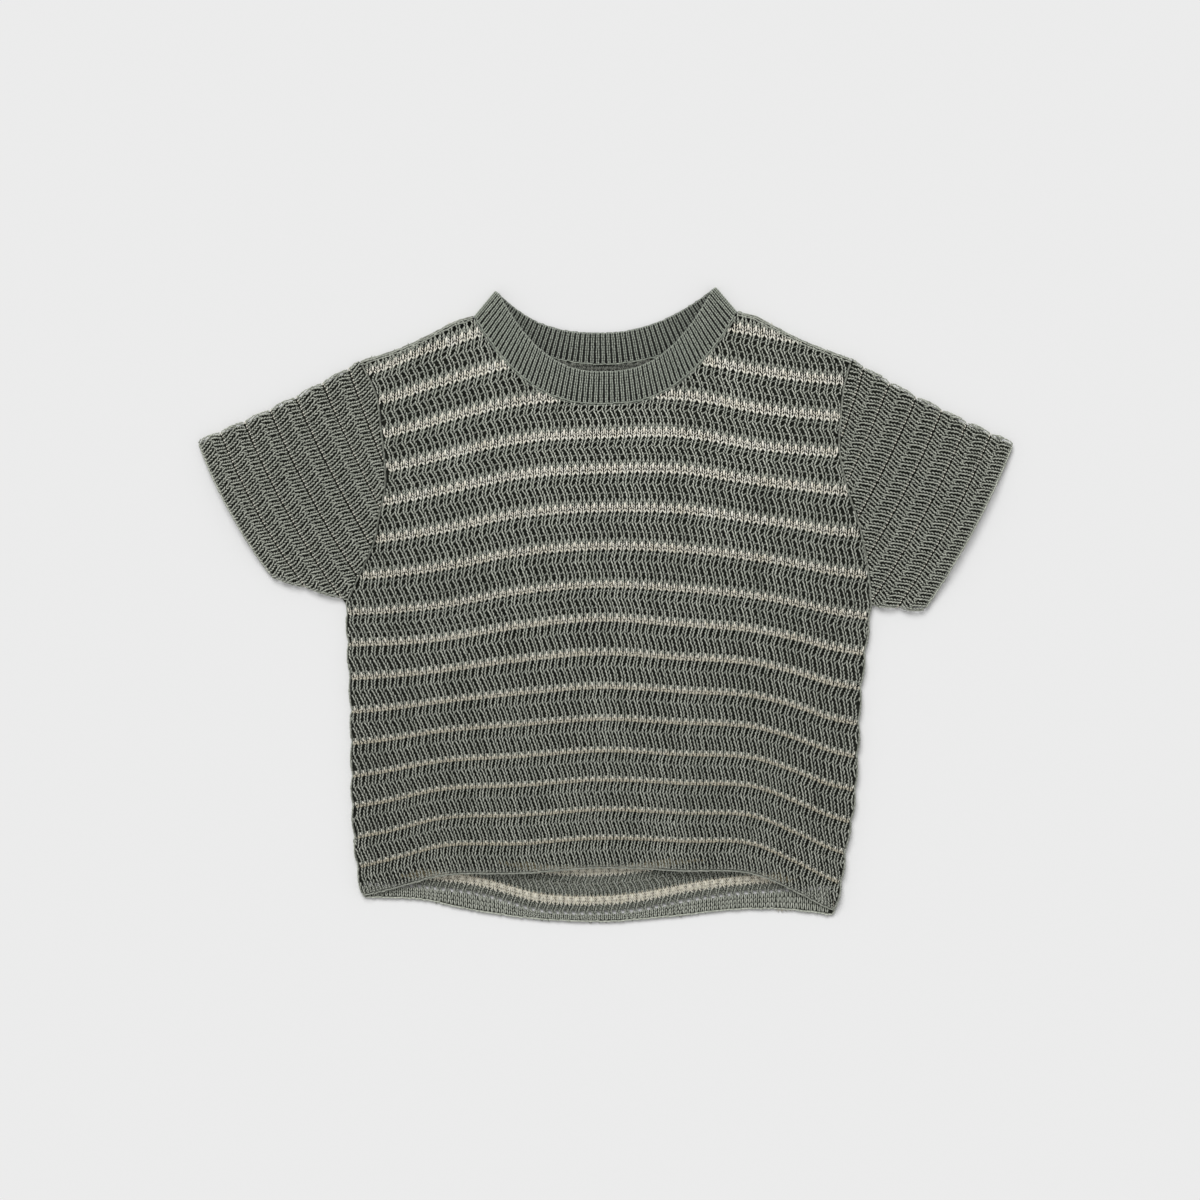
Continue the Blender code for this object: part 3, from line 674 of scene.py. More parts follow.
def front_knit():
    """All the legs of the front panel's openwork."""
    columns, bands = cells((-42, 42), (0, 17))
    pitch = np.interp(bands + 0.5, PITCH_AT_STRIPE, PITCH)
    outline = body_outline("front")
    amount = np.interp(bands, SQUEEZE_AT_STRIPE, SQUEEZE)
    yarn = Yarn()
    tone = tones(columns, 1.0)
    for leg in stitch_legs(pitch, amount / SQUEEZE.max()):
        line = leg.line
        column = line[:, :, 0] + columns[:, None]
        number = bands[:, None] + 1.0 - squeezed(line[:, :, 1], amount[:, None])
        x = column_x(column, number)
        y = course_height(np.clip(number, 0.0, LAST_COURSE), x)
        x = x + DRIFT * soft_noise(x, y, DRIFT_SIZE, 3)
        z = front_top(x, y, number) - LEG_RADIUS + line[:, :, 2]
        points = np.stack([x, y, z], 2) + jitter(columns, axes=FRONT_JITTER)
        middle = points[:, 1]
        kept = inside(middle[:, :2], outline, EDGE_CLEARANCE)
        kept &= inside(points[:, 0, :2], outline) & inside(points[:, 2, :2], outline)
        kept &= leg.shown & (number[:, 1] > FIRST_COURSE) & (number[:, 1] < LAST_COURSE)
        leg_tone = CELL_TONES * tone + tones(columns, LEG_TONES)
        shade = leg.shade * in_stripe_shadow(line[:, 1, 1], amount * FOLD_SHADOW, FOLD_SHADOW_AT)
        to_side = SIDE_SHADE * (middle[:, 0] / HALF_WIDTH) ** 2
        shade = shade * (OPEN_LIGHT - amount * LOWER_SHADE - to_side)
        yarn.add_leg(leg, kept, points, UP, leg_tone, shade)
    return yarn


EDGE_OVERLAP, EDGE_BOW = 0.25, 0.2


def edge_chain(yarn, path, heights, out, radius=0.55, step=2.1, shade=1.0):
    """A chain of legs along an edge: the sewn or cast off edge of a piece."""
    line = evenly(np.column_stack([path, heights]), step=step)
    way = line[1:] - line[:-1]
    count = len(way)
    square = np.stack([way[:, 1], -way[:, 0], np.zeros(count)], 1)
    square /= np.linalg.norm(square, axis=1, keepdims=True)
    start, end = line[:-1] - EDGE_OVERLAP * way, line[1:] + EDGE_OVERLAP * way
    middle = (line[:-1] + line[1:]) / 2 + square * EDGE_BOW
    middle = middle + RANDOM.normal(0.0, 2.0 * JITTER, (count, 3))
    up = square * out + np.array(UP) * (1.0 - abs(out) * 0.5)
    legs = np.stack([start, middle, end], 1)
    yarn.add(legs, up, radius, GREEN, tones(legs), shade)


def number_at(x, y):
    """Number of the front's course through points of the body."""
    numbers = np.linspace(0.0, LAST_COURSE, 340)
    table = course_height(numbers[:, None], x[None, :])
    return np.array([np.interp(y[k], table[:, k], numbers) for k in range(len(x))])


def without_neck(outline):
    """A body outline as an open path that starts and ends with the neck's corners."""
    neck = np.flatnonzero(inside(outline, COLLAR_AREA))
    return np.roll(outline, -neck.max(), axis=0)[: len(outline) - len(neck) + 2]


# Part of the plan in which the panels' edges lie under the collar
COLLAR_AREA = np.array([(-77.0, 110.0), (77.0, 110.0), (77.5, 190.0), (-77.5, 190.0)])


# ------------------------------------------------------------------------------- the back panel
BACK_STRIPE = -169.6  # height of the lowest stripe at the centre back
BACK_BAND = 16.7
BACK_GROWTH = 0.16  # each band is so much longer than the one below, twice
BACK_PITCH = 4.7
# How far the lowest stripes rise away from the centre: x, rise
BACK_RISE = np.array([
    (-140.0, 17.0), (-99.0, 14.4), (-71.0, 10.4), (-37.0, 1.4), (-17.0, 0.0), (18.0, 1.8),
    (45.0, 6.9), (73.0, 11.0), (97.0, 12.7), (131.0, 15.0),
])
HEM_RIBS_FROM = 0.51  # of a band below the lowest stripe
HEM_RIB_STITCHES = 3
HEM_RIB_LIGHT = 0.8
HEM_RIB_LEG = ((-0.15, 0.7, -0.2), (0.5, 0.62, 0.2), (1.2, 0.16, -0.2))  # along, aside, lift
HEM_RIB_ENDS, HEM_RIB_CLEARANCE = 0.6, 1.4  # short of the hem and of the side seams
HEM_HOLES = (-0.385, -0.525)  # the course numbers between which the floor shows through the back
HEM_SHOWS = 6.0  # how far up under the front hem the back is seen
COVERED = 3.0  # how far up under it the light still reaches
BACK_SHADE, BACK_SHADE_LESS, BACK_SHADE_REACH = 0.36, 0.2, 8.0  # near the front hem and past it
BACK_SHADE_FROM = 0.6  # of that reach, up under the hem
NECK_SHOWS = (48.0, 118.0)  # the half width and the height from which it is seen at the neck
NECK_SHADE = 0.16
UNDER_LIFT = 0.45  # of the undersides' stitches over the surface, for their arch


def back_height(number, x):
    rise = smooth_curve(*BACK_RISE.T, x) * (1 - ease(number / 7.0))
    return BACK_STRIPE + BACK_BAND * number + BACK_GROWTH * number**2 * np.sign(number) + rise


def back_ribs():
    """Stitches of the narrow ribbed edge in which the back ends."""
    yarn = Yarn()
    wales = (np.arange(-60, 61) + 0.25) * BACK_PITCH / 2
    top = back_height(np.full_like(wales, -HEM_RIBS_FROM), wales)
    foot = smooth_curve(*BACK_HEM.T, wales) + HEM_RIB_ENDS
    kept = wales > side_x("left", foot) + HEM_RIB_CLEARANCE
    kept &= wales < side_x("right", foot) - HEM_RIB_CLEARANCE
    wales, top, foot = wales[kept], top[kept], foot[kept]
    for step in range(HEM_RIB_STITCHES):
        for side in (-1.0, 1.0):
            rows = []
            for along, aside, lift in HEM_RIB_LEG:
                share = (step + along) / HEM_RIB_STITCHES
                y = top + (foot - top) * share
                level = np.full_like(wales, BACK_WALL - LEG_RADIUS + lift)
                rows.append(np.stack([wales + side * aside, y, level], 1))
            line = np.stack(rows, 1) + jitter(wales)
            yarn.add(line, UP, LEG_RADIUS, GREEN, tones(line), HEM_RIB_LIGHT)
    return yarn


def back_knit(plain):
    """The back's openwork: in full where it shows past the front hem, and plain all over."""
    columns, bands = cells((-36, 37), (-2, 17))
    pitch = np.full(len(columns), BACK_PITCH)
    outline = body_outline("back")
    up = DOWN if plain else UP
    level = LEG_RADIUS + UNDER_LIFT if plain else BACK_WALL - LEG_RADIUS
    yarn = Yarn()
    for leg in stitch_legs(pitch, 0.0, plain, filled=bands >= 0):
        line = leg.line
        number = bands[:, None] + 1.0 - line[:, :, 1]
        x = BACK_PITCH * (line[:, :, 0] + columns[:, None])
        y = back_height(number, x)
        x = x + DRIFT * soft_noise(x, y, DRIFT_SIZE, 5)
        z = level + line[:, :, 2] * up[2]
        points = np.stack([x, y, z], 2) + jitter(columns, axes=FLAT_JITTER)
        middle = points[:, 1]
        kept = inside(middle[:, :2], outline, EDGE_CLEARANCE) & leg.shown
        bare = course_height(0.0, middle[:, 0]) - middle[:, 1]
        tone = tones(columns)
        shade = 1.0
        if not plain:
            at_neck = middle[:, 1] > NECK_SHOWS[1]
            kept &= (bare > -HEM_SHOWS) | (np.abs(middle[:, 0]) < NECK_SHOWS[0]) & at_neck
            kept &= number[:, 1] > -HEM_RIBS_FROM
            shade = BACK_SHADE + BACK_SHADE_LESS * ease(bare / BACK_SHADE_REACH + BACK_SHADE_FROM)
            shade = np.where(at_neck, NECK_SHADE, shade * ease(1.0 + bare / COVERED))
            leg.colour = np.where(at_neck, GREEN, leg.colour)
        yarn.add_leg(leg, kept, points, up, tone, leg.shade * shade)
    return yarn


# ----------------------------------------------------------------------------------- sleeves
SLEEVE_PITCH = 4.0
SLEEVE_SQUEEZE = 0.5
SLEEVE_LIGHT = 0.83
# How deep in from the cuff each band of the sleeve ends in a crease, at its top fold
CREASES = np.array([0.0, 14.2, 29.2, 45.4, 62.0, 79.4, 96.4, 113.0, 130.0])
CREASE_NUMBER = np.arange(len(CREASES), dtype=float)
FAN_FROM, FAN_OVER, FAN = 4.4, 1.8, 18.0  # the last creases turn towards the armhole
WALL_PAST_FOLD = 0.9
FOLD_RADIUS = SLEEVE_FOLD + SLEEVE_WALL / 2
FOLD_NEAR, SWELL_RISE, SEAM_CLEARANCE = 10.0, 3.2, 0.35
CREASE_SHADOW, CREASE_AT = 0.45, 0.04  # how dark a crease is, and how far down its band
CUFF_LEVELS = (-0.55, -1.3)  # of the chains along the cuff; the lower layer has the first alone
CUFF_INSET, CUFF_POINTS = 0.3, 60
WRAP = 0.62  # of a half turn: how far the upper layer's stitches are carried round a fold


class SleeveMap:
    """Where a sleeve's stitches lie. Its courses run parallel to the cuff."""

    def __init__(self, side):
        corners = [np.array(place) for place in SLEEVE_CORNERS[side]]
        self.cuff_top, self.cuff_under, shoulder, underarm = corners
        self.side = side
        along_cuff = self.cuff_top - self.cuff_under
        self.across = along_cuff / np.hypot(*along_cuff)
        self.width = along_cuff.dot(self.across)
        self.inwards = -OUTWARD[side] * np.array([self.across[1], -self.across[0]])
        self.top_run = self.run_per_mm(shoulder - self.cuff_top)
        self.top_depth = (shoulder - self.cuff_top).dot(self.inwards)
        self.under_run = self.run_per_mm(underarm - self.cuff_under)

    def run_per_mm(self, edge):
        return edge / edge.dot(self.inwards)

    def span(self, depth):
        """Places across the sleeve of its underarm fold and its top fold, at a depth."""
        along = np.clip(depth / self.top_depth, 0.0, 1.0)
        sag = 4 * along * (1 - along) * TOP_SAG
        top = self.width + self.top_run.dot(self.across) * depth - FOLD_RADIUS - sag
        return self.under_run.dot(self.across) * depth + FOLD_RADIUS, top

    def depth_of(self, number, across):
        """Depth in from the cuff of a course, at a place across."""
        depth = np.interp(number, CREASE_NUMBER, CREASES)
        under, top = self.span(depth)
        share = np.clip((across - under) / (top - under), 0.0, 1.0)
        return depth - FAN * ease((number - FAN_FROM) / FAN_OVER) * (1.0 - share)

    def lay(self, across, depth, lift, number=0.0, lower=False):
        """Points and outward directions of the cloth's face at a place across and a depth."""
        under, top = self.span(depth)
        share = np.clip((across - under) / (top - under), 0.0, 1.0)
        band = np.where(depth > 0, roll(np.maximum(number, 0.0)), CUFF_EDGE)
        ripple = SLEEVE_RIPPLE * (band - 0.5)
        radius = FOLD_RADIUS + lift
        beyond = np.maximum(across - top, 0.0) - np.maximum(under - across, 0.0)
        turn = np.clip(beyond / FOLD_RADIUS, -np.pi, np.pi)
        near = ease(1 - (top - across) / FOLD_NEAR) - ease(1 - (across - under) / FOLD_NEAR)
        flat = np.clip(across, under, top)
        place = flat + near * ripple + radius * np.sin(turn)
        swell = SLEEVE_SWELL * ease(SWELL_RISE * share) * ease(SWELL_RISE * (1 - share))
        z = SLEEVE_WALL / 2 + SLEEVE_FOLD + radius * np.cos(turn) + swell
        z = z + SLEEVE_ROLL * band * np.cos(turn / 2)
        up = np.stack([*(axis * np.sin(turn) for axis in self.across), np.cos(turn)], -1)
        if lower:
            z = 0.0 * across - lift + UNDER_LIFT
            up = np.broadcast_to(DOWN, up.shape)
        bow = depth - 4 * share * (1 - share) * CUFF_BOW
        x, y = (
            self.cuff_under[k] + self.inwards[k] * bow + self.across[k] * place for k in (0, 1)
        )
        return np.stack([x, y, z], -1), up

    def outside_body(self, points):
        """Which points lie on the sleeve's side of the armhole seam."""
        line = smooth_curve(*ARMHOLES[self.side].T, points[:, 1])
        return (points[:, 0] - line) * OUTWARD[self.side] > SEAM_GAP + SEAM_CLEARANCE


def sleeve_knit(plan, lower):
    """A sleeve's openwork: the upper layer in full with both folds, or the plain lower one."""
    turned = OUTWARD[plan.side]
    columns, bands = cells((-8, 46), (0, 8), turned)
    pitch = np.full(len(columns), SLEEVE_PITCH)
    yarn = Yarn()
    margin = 1.0 if lower else np.pi * FOLD_RADIUS * WRAP
    crease = 0.0 if lower else CREASE_SHADOW
    for leg in stitch_legs(pitch, 1.0, plain=lower, striped=lower):
        line = leg.line
        across = SLEEVE_PITCH * (turned * line[:, :, 0] + columns[:, None])
        number = bands[:, None] + 1.0 - squeezed(line[:, :, 1], SLEEVE_SQUEEZE)
        depth = plan.depth_of(number, across)
        points, ups = plan.lay(across, depth, line[:, :, 2] - LEG_RADIUS, number, lower)
        under, top = plan.span(depth[:, 1])
        points = points + jitter(columns, axes=FLAT_JITTER)
        kept = plan.outside_body(points[:, 1]) & (number[:, 1] > FIRST_COURSE)
        kept &= (across[:, 1] > under - margin) & (across[:, 1] < top + margin)
        tone = tones(columns)
        shade = leg.shade * in_stripe_shadow(line[:, 1, 1], crease, CREASE_AT) * SLEEVE_LIGHT
        yarn.add_leg(leg, kept, points, ups[kept, 1], tone, shade)
    share = np.linspace(0.0, 1.0, CUFF_POINTS)
    under, top = plan.span(np.zeros(CUFF_POINTS))
    depth = np.full(CUFF_POINTS, CUFF_INSET)
    for level in CUFF_LEVELS[:1] if lower else CUFF_LEVELS:
        at = under + (top - under) * share
        edge, _ = plan.lay(at, depth, np.full(CUFF_POINTS, level), lower=lower)
        edge_chain(yarn, edge[:, :2], edge[:, 2], 0.0)
    return yarn


# ------------------------------------------------------------------------------------ collar
RIB_STITCHES = 12
RIB_OPEN = 0.6
RIB_SHUT = 0.42
RIB_RADIUS = 0.5
FOLD_RIBS = np.radians([25.0, 83.0, 140.0])  # ribs that lie on the round of each side fold
FOLD_RIB_RISE = 0.55
BACK_LIGHT = 0.88  # on the back band, behind the front one, and the loss of it at the ends
BACK_END_SHADE = 0.55
BACK_END_REACH = 0.14  # of the back band's length
SEAM_POINTS = 120
RIB_JITTER = 0.7 * JITTER
RIB_DROOP = 0.5  # of the last stitch's foot, at the band's edge
# Chains on the seam and on the edge: share of the band's width, rise, radius, light, step
SEAM_ROWS = (
    (-0.01, 0.1, 0.52, 0.9, 1.9),
    (-0.065, -0.7, 0.6, 0.62, 1.9),
    (1.0, -0.2, 0.36, 0.6, 1.5),
)


def collar_level(face, share, along):
    """Height of the collar's upper face between its ribs."""
    if face == "back":
        return np.full_like(along, COLLAR_WALL)
    arch = 1 - np.abs(2 * along - 1) ** 3
    return COLLAR_REST + COLLAR_WALL + arch * (COLLAR_LIFT + COLLAR_TILT * share)


def rib_points(face, share, aside, lift, turned=False):
    """A point on each rib of one face at a share of the band's width."""
    count = RIBS[face]
    line = neck_edge(face, share, 2 * count + 1)
    along = (2 * np.arange(count) + 1) / (2 * count)
    way = line[2::2] - line[:-1:2]
    way /= np.hypot(*way.T)[:, None]
    plan = line[1::2] + way * aside
    z = collar_level(face, share, along) + RIB_HEIGHT + lift
    if turned:
        z = np.full(count, UNDER_LIFT / 2 - lift)
    return np.column_stack([plan, z])


def fold_rib_points(side, angle, share, aside, lift):
    """A point of a rib that lies on the round of a side fold, at an angle down from its top."""
    out, top = np.array([*fold_direction(side), 0.0]), np.array(UP)
    radial = out * np.sin(angle) + top * np.cos(angle)
    around = out * np.cos(angle) - top * np.sin(angle)
    centre = np.array([*collar_tip(side, share), COLLAR_WALL / 2 + COLLAR_REST / 2])
    point = centre + radial * (COLLAR_REST / 2 + COLLAR_WALL / 2 + lift) + around * aside
    return point, radial


def back_band_light(count):
    """Light on each rib of the back band: less towards its ends, under the front's tips."""
    from_end = (np.arange(count) + 0.5) / count
    from_end = np.minimum(from_end, 1.0 - from_end)
    return BACK_LIGHT - BACK_END_SHADE * np.exp(-from_end / BACK_END_REACH)


def collar_knit():
    """The ribs as chains of stitches on every face that shows, and the linked seam."""
    yarn = Yarn()
    stations = np.linspace(0.0, 1.0, RIB_STITCHES + 1)
    ends = -LEG_ARCH / 2 - RIB_RADIUS
    for low, high in zip(stations, stations[1:]):
        over = (high - low) * LEG_OVERLAP
        shape = (
            (low - over, RIB_SHUT, ends),
            ((low + high) / 2, RIB_OPEN, ends + LEG_ARCH),
            (high + over / 2, RIB_SHUT, ends - RIB_DROOP * (high == 1.0)),
        )
        for stitch_side in (-1.0, 1.0):
            for face, turned in (("front", False), ("back", False), ("back", True)):
                rows = [rib_points(face, at, stitch_side * w, z, turned) for at, w, z in shape]
                legs = np.stack(rows, 1) + jitter(rows[0], RIB_JITTER)
                shade = back_band_light(len(legs)) if face == "back" and not turned else 1.0
                yarn.add(legs, DOWN if turned else UP, RIB_RADIUS, GREEN, tones(legs), shade)
            for side in OUTWARD:
                for angle in FOLD_RIBS:
                    rows = [
                        fold_rib_points(side, angle, at, stitch_side * w, z + FOLD_RIB_RISE)
                        for at, w, z in shape
                    ]
                    legs = np.array([[point for point, _ in rows]])
                    yarn.add(legs, rows[1][1][None], RIB_RADIUS, GREEN, tones(legs))
    along = np.linspace(0.0, 1.0, SEAM_POINTS)
    for face, rows in (("front", SEAM_ROWS), ("back", SEAM_ROWS[::2])):
        for place, rise, radius, light, step in rows:
            path = neck_edge(face, place, SEAM_POINTS)
            level = collar_level(face, np.clip(place, 0.0, 1.0), along) + rise
            edge_chain(yarn, path, level, 0.0, radius, step, light)
    return yarn


# --------------------------------------------------------------------------------- materials
def linear(colour):
    """Linear values of an sRGB hex colour."""
    parts = [int(colour[k : k + 2], 16) / 255 for k in (1, 3, 5)]
    return [c / 12.92 if c <= 0.04045 else ((c + 0.055) / 1.055) ** 2.4 for c in parts] + [1.0]


def feed(node, inputs):
    """Gives a node its inputs, each a value or another node's output."""
    for name, value in dict(inputs).items():
        if isinstance(value, bpy.types.NodeSocket):
            node.id_data.links.new(value, node.inputs[name])
        else:
            node.inputs[name].default_value = value
    return node


def add_node(material, kind, settings=(), inputs=()):
    node = material.node_tree.nodes.new("ShaderNode" + kind)
    for name, value in dict(settings).items():
        setattr(node, name, value)
    return feed(node, inputs)


def new_material(name):
    material = bpy.data.materials.new(name)
    material.use_nodes = True
    return material, material.node_tree.nodes["Principled BSDF"]


TONE_SHARE = 0.16  # of a leg's own tone in its colour
SHADE_POWER = 0.7
FIBRES = {"Scale": 5200.0, "Detail": 2.0}  # 0.2 mm, single fibres
FIBRE_RELIEF = {"Strength": 0.35, "Distance": 0.0001}
MATT = {"Roughness": 0.9, "Specular IOR Level": 0.25, "Sheen Roughness": 0.5}
FLOOR = {"Base Color": "#ebebeb", "Roughness": 1.0, "Specular IOR Level": 0.0}


def cotton(name, shade_colour, low, high, sheen, grain=1.1):
    """Matt combed cotton yarn, heathered, fibres along it, with painted shade: darker down its
    sides and in covered places, after each vertex's painted light.

    grain is the size in millimetres of the lighter and darker places.
    """
    material, shader = new_material(name)
    painted_light = add_node(material, "Attribute", {"attribute_name": "painted_light"}).outputs["Fac"]
    tone = add_node(material, "Attribute", {"attribute_name": "tone"}).outputs["Fac"]
    place = add_node(material, "TexCoord").outputs["Object"]
    size = {"Vector": place, "Scale": 1.0 / (grain * MM), "Detail": 3.0}
    heather = add_node(material, "TexNoise", (), size).outputs["Fac"]
    parts = {0: tone, 1: TONE_SHARE, 2: heather}
    mixed = add_node(material, "Math", {"operation": "MULTIPLY_ADD"}, parts).outputs[0]
    lit = {0: mixed, 6: linear(low), 7: linear(high)}
    yarn = add_node(material, "Mix", {"data_type": "RGBA"}, lit).outputs[2]
    # Painted shade: where a vertex's painted light is low, the colour turns to the dark shade
    # colour
    open_to_light = {0: painted_light, 1: SHADE_POWER}
    light = add_node(material, "Math", {"operation": "POWER"}, open_to_light).outputs[0]
    whole = {0: light, 6: linear(shade_colour), 7: yarn}
    colour = add_node(material, "Mix", {"data_type": "RGBA"}, whole).outputs[2]
    fibres = add_node(material, "TexNoise", (), {"Vector": place, **FIBRES}).outputs["Fac"]
    bump = add_node(material, "Bump", (), {"Height": fibres, **FIBRE_RELIEF}).outputs["Normal"]
    feed(shader, {"Base Color": colour, "Normal": bump, "Sheen Weight": sheen, **MATT})
    return material


def plain_floor():
    """Pale paper without any gloss, on which only the shirt's soft shadow shows."""
    material, shader = new_material("matt pale paper")
    feed(shader, {**FLOOR, "Base Color": linear(FLOOR["Base Color"])})
    return material


# ------------------------------------------------------------------------- camera and studio
FRAME_WIDTH = 691.2  # of the picture, on the floor
VIEW_CENTRE = (-3.17, 2.52)
CAMERA_HEIGHT = 2600.0
SENSOR = 36.0
LIGHT_SPREAD = 34.0  # degrees: as wide as a large softbox close overhead
LIGHT_TURN = (-38.0, -14.0, 0.0)  # from over the neck, a little to the left
LIGHT_STRENGTH = 2.08
ROOM_LIGHT = 0.5
FLOOR_SIZE, FLOOR_DROP, VIEW_DEPTH = 12.0, 0.0002, 20.0  # metres


def set_studio():
    camera = bpy.data.cameras.new("camera")
    camera.sensor_width = SENSOR
    camera.lens = SENSOR * CAMERA_HEIGHT / FRAME_WIDTH
    camera.clip_end = VIEW_DEPTH
    place = (*VIEW_CENTRE, CAMERA_HEIGHT)
    bpy.context.scene.camera = put_in_scene("camera", camera, [MM * size for size in place])

    bpy.ops.mesh.primitive_plane_add(size=FLOOR_SIZE, location=(0.0, 0.0, -FLOOR_DROP))
    floor = bpy.context.object
    floor.name = "floor"
    floor.data.materials.append(plain_floor())

    softbox = bpy.data.lights.new("overhead softbox", "SUN")
    softbox.angle = np.radians(LIGHT_SPREAD)
    softbox.energy = LIGHT_STRENGTH
    lamp = put_in_scene("overhead softbox", softbox)
    lamp.rotation_euler = np.radians(LIGHT_TURN)

    world = bpy.context.scene.world or bpy.data.worlds.new("studio")
    bpy.context.scene.world = world
    world.use_nodes = True
    room = {"Color": linear("#ffffff"), "Strength": ROOM_LIGHT}
    feed(world.node_tree.nodes["Background"], room)
    bpy.context.scene.view_settings.view_transform = "Standard"


set_studio()
# Combed cotton, dyed in the yarn and knitted: matt, with a soft bloom of fibre ends; its first
# colour is the painted shade of its hollows
SAGE = cotton("sage combed cotton knit", "#1f221b", "#a6ab9d", "#e8ebdd", 0.15)
# The same cotton left undyed: its painted shade in the hollows warm, nearly white on its loops
CREAM_YARN = cotton("undyed combed cotton knit", "#8f876c", "#f7f1df", "#fffef6", 0.1)
# Ribbed more tightly: its colours are painted darker than the sage knit's, as painted shade for
# the little light that comes back out of its grooves
RIB = cotton("sage combed cotton rib", "#1d201b", "#989f92", "#c9cfc1", 0.15)
# Painted shade: the inner face of the layer behind, coloured nearly black for the little light
# that gets through the stitches
SHADED = cotton("sage cotton knit in shade", "#0d0f0a", "#0f110c", "#34372f", 0.0, 4.0)


def shell(name, points, faces, material):
    """A closed surface through points in millimetres, as an object."""
    mesh = bpy.data.meshes.new(name)
    mesh.from_pydata(((np.array(points) - [*CENTRE, 0.0]) * MM).tolist(), [], faces)
    mesh.materials.append(material)
    return put_in_scene(name, mesh)


def dress(piece, slot, *nodes):
    """Hides the solids that a piece stands for, and hangs it under the shirt's root so that it
    rides with the shirt.
    """
    if nodes:
        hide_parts(*nodes)
    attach(piece, "root")
    return piece


def painted_shade_wall(name, outline, low, high, *nodes):
    """The cloth of a hidden layer as a thin closed shell, coloured nearly black as painted shade
    that shows between the stitches.
    """
    count = len(outline)
    points = [(x, y, z) for z in (low, high) for x, y in outline]
    faces = [[*range(count - 1, -1, -1)], [*range(count, 2 * count)]]
    faces += [(k, (k + 1) % count, count + (k + 1) % count, count + k) for k in range(count)]
    piece = shell(name, points, faces, SHADED)
    set_looks(piece.data, np.ones(2 * count), np.zeros(2 * count))
    return dress(piece, "sage_knit", *nodes)


WALL_DEPTH, WALL_CLEARANCE, WALL_ENDS = 1.2, 0.5, 8.0  # of a sleeve's wall, in from its edges
WALL_CUFF_POINTS, WALL_FOLD_POINTS = 30, 9
SHELL_SHARES, SHELL_SKIN = (0.01, 0.35, 0.65, 0.97), 0.5  # the collar wall's rings, and half of it
SHELL_FRONT, SHELL_BACK, SHELL_FOLD = 60, 50, np.radians([45.0, 90.0, 135.0])


def sleeve_outline(plan):
    """Plan of a sleeve's hidden layer, just inside its folds and its seam."""
    across = np.linspace(*plan.span(np.array(0.0)), WALL_CUFF_POINTS)
    depth = np.full(WALL_CUFF_POINTS, WALL_DEPTH)
    cuff, _ = plan.lay(across, depth, 0.0 * depth, lower=True)
    hole = even_steps(ARMHOLES[plan.side], ARMHOLE_STEP)[:, ::-1]
    hole += (OUTWARD[plan.side] * (SEAM_GAP + WALL_CLEARANCE), 0.0)
    depths = np.linspace(WALL_ENDS, plan.top_depth - WALL_ENDS, WALL_FOLD_POINTS)
    folds = []
    for across, out in zip(plan.span(depths), (-1.0, 1.0)):
        fold, _ = plan.lay(across, depths, 0.0 * depths, lower=True)
        fold[:, :2] += out * plan.across * WALL_PAST_FOLD
        folds.append(fold[plan.outside_body(fold), :2])
    under, upper = folds
    path = np.vstack([cuff[:, :2], upper, hole[::-1], under[::-1]])
    return path if plan.side == "right" else path[::-1]


def finish_piece(yarn, name, slot, *nodes, materials=(SAGE, CREAM_YARN)):
    """One joined mesh of stitch legs that stands for a solid of the shirt."""
    return dress(yarn.mesh(name, materials), slot, *nodes)


def collar_shell():
    """The wall of the collar between its ribs: painted shade, since without a light attribute the
    rib cotton colours it all in its dark shade colour.
    """
    rings = [collar_section(share, SHELL_SKIN) for share in SHELL_SHARES]
    rings += [collar_section(share, -SHELL_SKIN) for share in SHELL_SHARES[::-1]]
    count = len(rings[0])
    faces = []
    for k in range(len(rings)):
        low, high = k * count, (k + 1) % len(rings) * count
        for i in range(count):
            beside = (i + 1) % count
            faces.append((low + i, low + beside, high + beside, high + i))
    piece = shell("collar_wall", [place for ring in rings for place in ring], faces, RIB)
    piece.data.shade_smooth()
    return piece


def collar_section(share, half_wall):
    """One closed ring through the collar wall: front, right fold, back, left fold."""
    front = neck_edge("front", share, SHELL_FRONT)
    back = neck_edge("back", share, SHELL_BACK)[::-1]
    along = np.linspace(0.0, 1.0, SHELL_FRONT)
    middle = COLLAR_REST + COLLAR_WALL / 2
    low = COLLAR_WALL / 2
    arch = 1 - np.abs(2 * along - 1) ** 3
    z = middle + arch * (COLLAR_LIFT + COLLAR_TILT * share) + half_wall
    ring = [*np.column_stack([front, z])]
    radius = (middle - low) / 2
    for end, side, angles in ((-1, "right", SHELL_FOLD), (0, "left", SHELL_FOLD[::-1])):
        if side == "left":
            ring += [*np.column_stack([back, np.full(SHELL_BACK, low - half_wall)])]
        for angle in angles:
            place = front[end] + fold_direction(side) * (radius + half_wall) * np.sin(angle)
            ring.append((*place, low + radius + (radius + half_wall) * np.cos(angle)))
    return ring


PLAN_X, PLAN_Y = (-240.0, 240.0), (-190.0, 190.0)  # in which all of the shirt lies


def laid_sheet(piece, outline, low, high, rests_on=(), with_pieces=(), layers=1):
    x, y = np.meshgrid(np.arange(*PLAN_X), np.arange(*PLAN_Y))
    places = np.stack([x.ravel(), y.ravel()], 1)
    places = places[(places[:, 1] >= low) & (places[:, 1] < high)]
    places = places[inside(places, outline)]


# Chains along the front's shoulders: how far in from the edge, light
SHOULDER_ROWS = ((0.7, 0.75), (1.9, 0.7))
BACK_EDGE_LEVELS = (0.85, 1.45)
REGIONS = (("front_lower", 0, 5), ("front_middle", 5, 10), ("front_upper", 10, 17))
HEM_COURSE = 0.05  # the number up to which an edge counts as the hem
BACK_INSET, STRIP_INSET, STRIP_LEAST = 0.4, 0.3, 0.5  # of the dark walls at the back's hem
BACK_LEVELS, SLEEVE_LEVELS = (1.12, 1.4), (1.3, 1.5)  # of the dark walls' faces

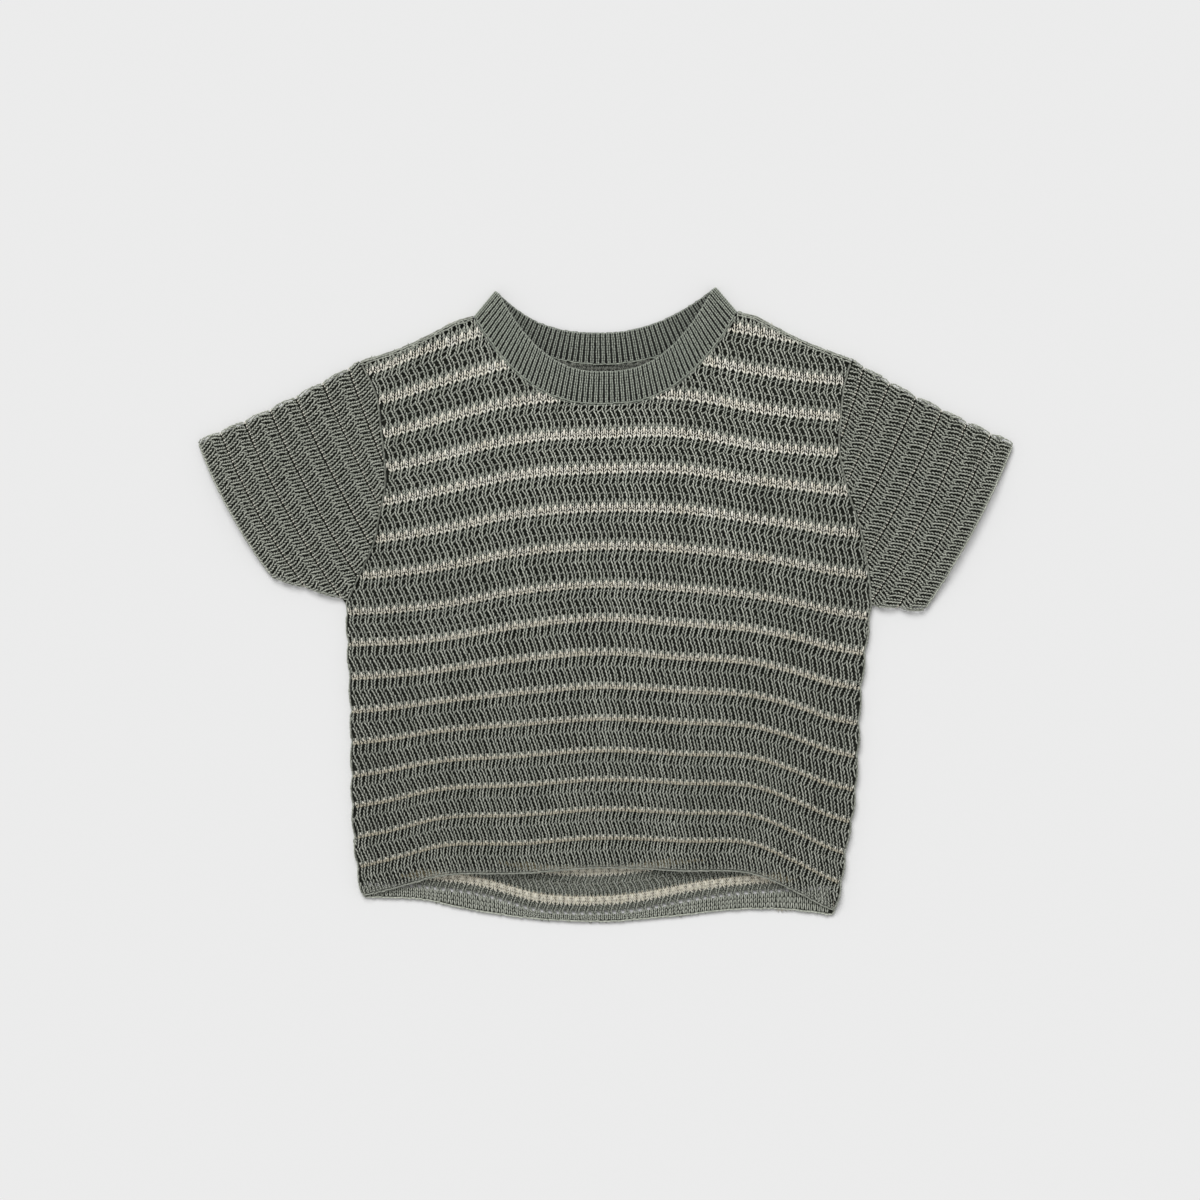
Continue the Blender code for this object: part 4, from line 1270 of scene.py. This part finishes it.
front = front_knit()
outline = without_neck(body_outline("front"))
numbers = number_at(*outline.T)
tops = front_top(*outline.T, numbers)
hem = numbers < HEM_COURSE
edge_chain(front, outline[hem], tops[hem] - 0.35, out=0.0, radius=0.42, shade=0.6)
edge_chain(front, outline, tops - 1.0, out=0.5, shade=0.5)
left_half = np.arange(len(outline)) >= len(outline) // 2
for half in (~left_half, left_half):
    shoulder = half & (outline[:, 1] > SHOULDER_LEFT[0, 1] - 1.0)
    for into, shade in SHOULDER_ROWS:
        path = outline[shoulder] - (0.0, into)
        level = tops[shoulder] - 0.25
        edge_chain(front, path, level, out=0.0, radius=0.5, step=1.8, shade=shade)
edge_chain(front, outline, under_front(*outline.T) + 0.5, out=0.8, shade=0.5)
cut = body_outline("front")
for name, low, high in REGIONS:
    bottom = STRIPE_HEIGHT[low] if low else PLAN_Y[0]
    top = STRIPE_HEIGHT[high] if high < LAST_COURSE else PLAN_Y[1]
    part = front.keep(lambda places: (places[:, 1] >= bottom) & (places[:, 1] < top))
    piece = finish_piece(part, name, "sage_knit", "front_panel")
    laid_sheet(piece, cut, bottom, top, ["back_panel"])

back = back_knit(True)
outline = without_neck(body_outline("back"))
for level in BACK_EDGE_LEVELS:
    edge_chain(back, outline, np.full(len(outline), level), out=0.6)
back_net = finish_piece(back, "back_net", "sage_knit", "back_panel")
shown = back_knit(False)
shown.parts += back_ribs().parts
back_hem = finish_piece(shown, "back_hem", "sage_knit", "back_panel")
xs = front_hem()[:, 0]
hem = smooth_curve(*BACK_HEM.T, xs)
hole_top, hole_foot = (
    np.stack([xs, np.maximum(back_height(np.full_like(xs, number), xs), hem + BACK_INSET)], 1)
    for number in HEM_HOLES
)
cut = body_outline("back", hole_top)
back_wall = painted_shade_wall("back_wall", cut, *BACK_LEVELS, "back_panel")
edge = np.stack([xs, hem + STRIP_INSET], 1)
strip = (hole_foot - edge)[:, 1] > STRIP_LEAST
strip_path = np.vstack([edge[strip], hole_foot[strip][::-1]])
edge_wall = painted_shade_wall("back_edge_wall", strip_path, *BACK_LEVELS, "back_panel")
laid_sheet(back_wall, cut, *PLAN_Y, (), [back_net, back_hem, edge_wall])

for side in OUTWARD:
    plan = SleeveMap(side)
    knit = sleeve_knit(plan, False)
    knit.parts += sleeve_knit(plan, True).parts
    node = "sleeve_" + side
    net = finish_piece(knit, node + "_net", "sage_knit", node)
    cut = sleeve_outline(plan)
    inner = painted_shade_wall(node + "_wall", cut, *SLEEVE_LEVELS, node)
    laid_sheet(net, cut, *PLAN_Y, (), [inner], layers=2)

wall = dress(collar_shell(), "sage_rib")
ribs = finish_piece(collar_knit(), "collar_ribs", "sage_rib", "collar", materials=(RIB,))
middles = [neck_edge(face, 0.5, 200) for face in ("front", "back")]
around = sum(np.hypot(*np.diff(line, axis=0).T).sum() for line in middles)
around += np.pi * (COLLAR_REST + COLLAR_WALL)
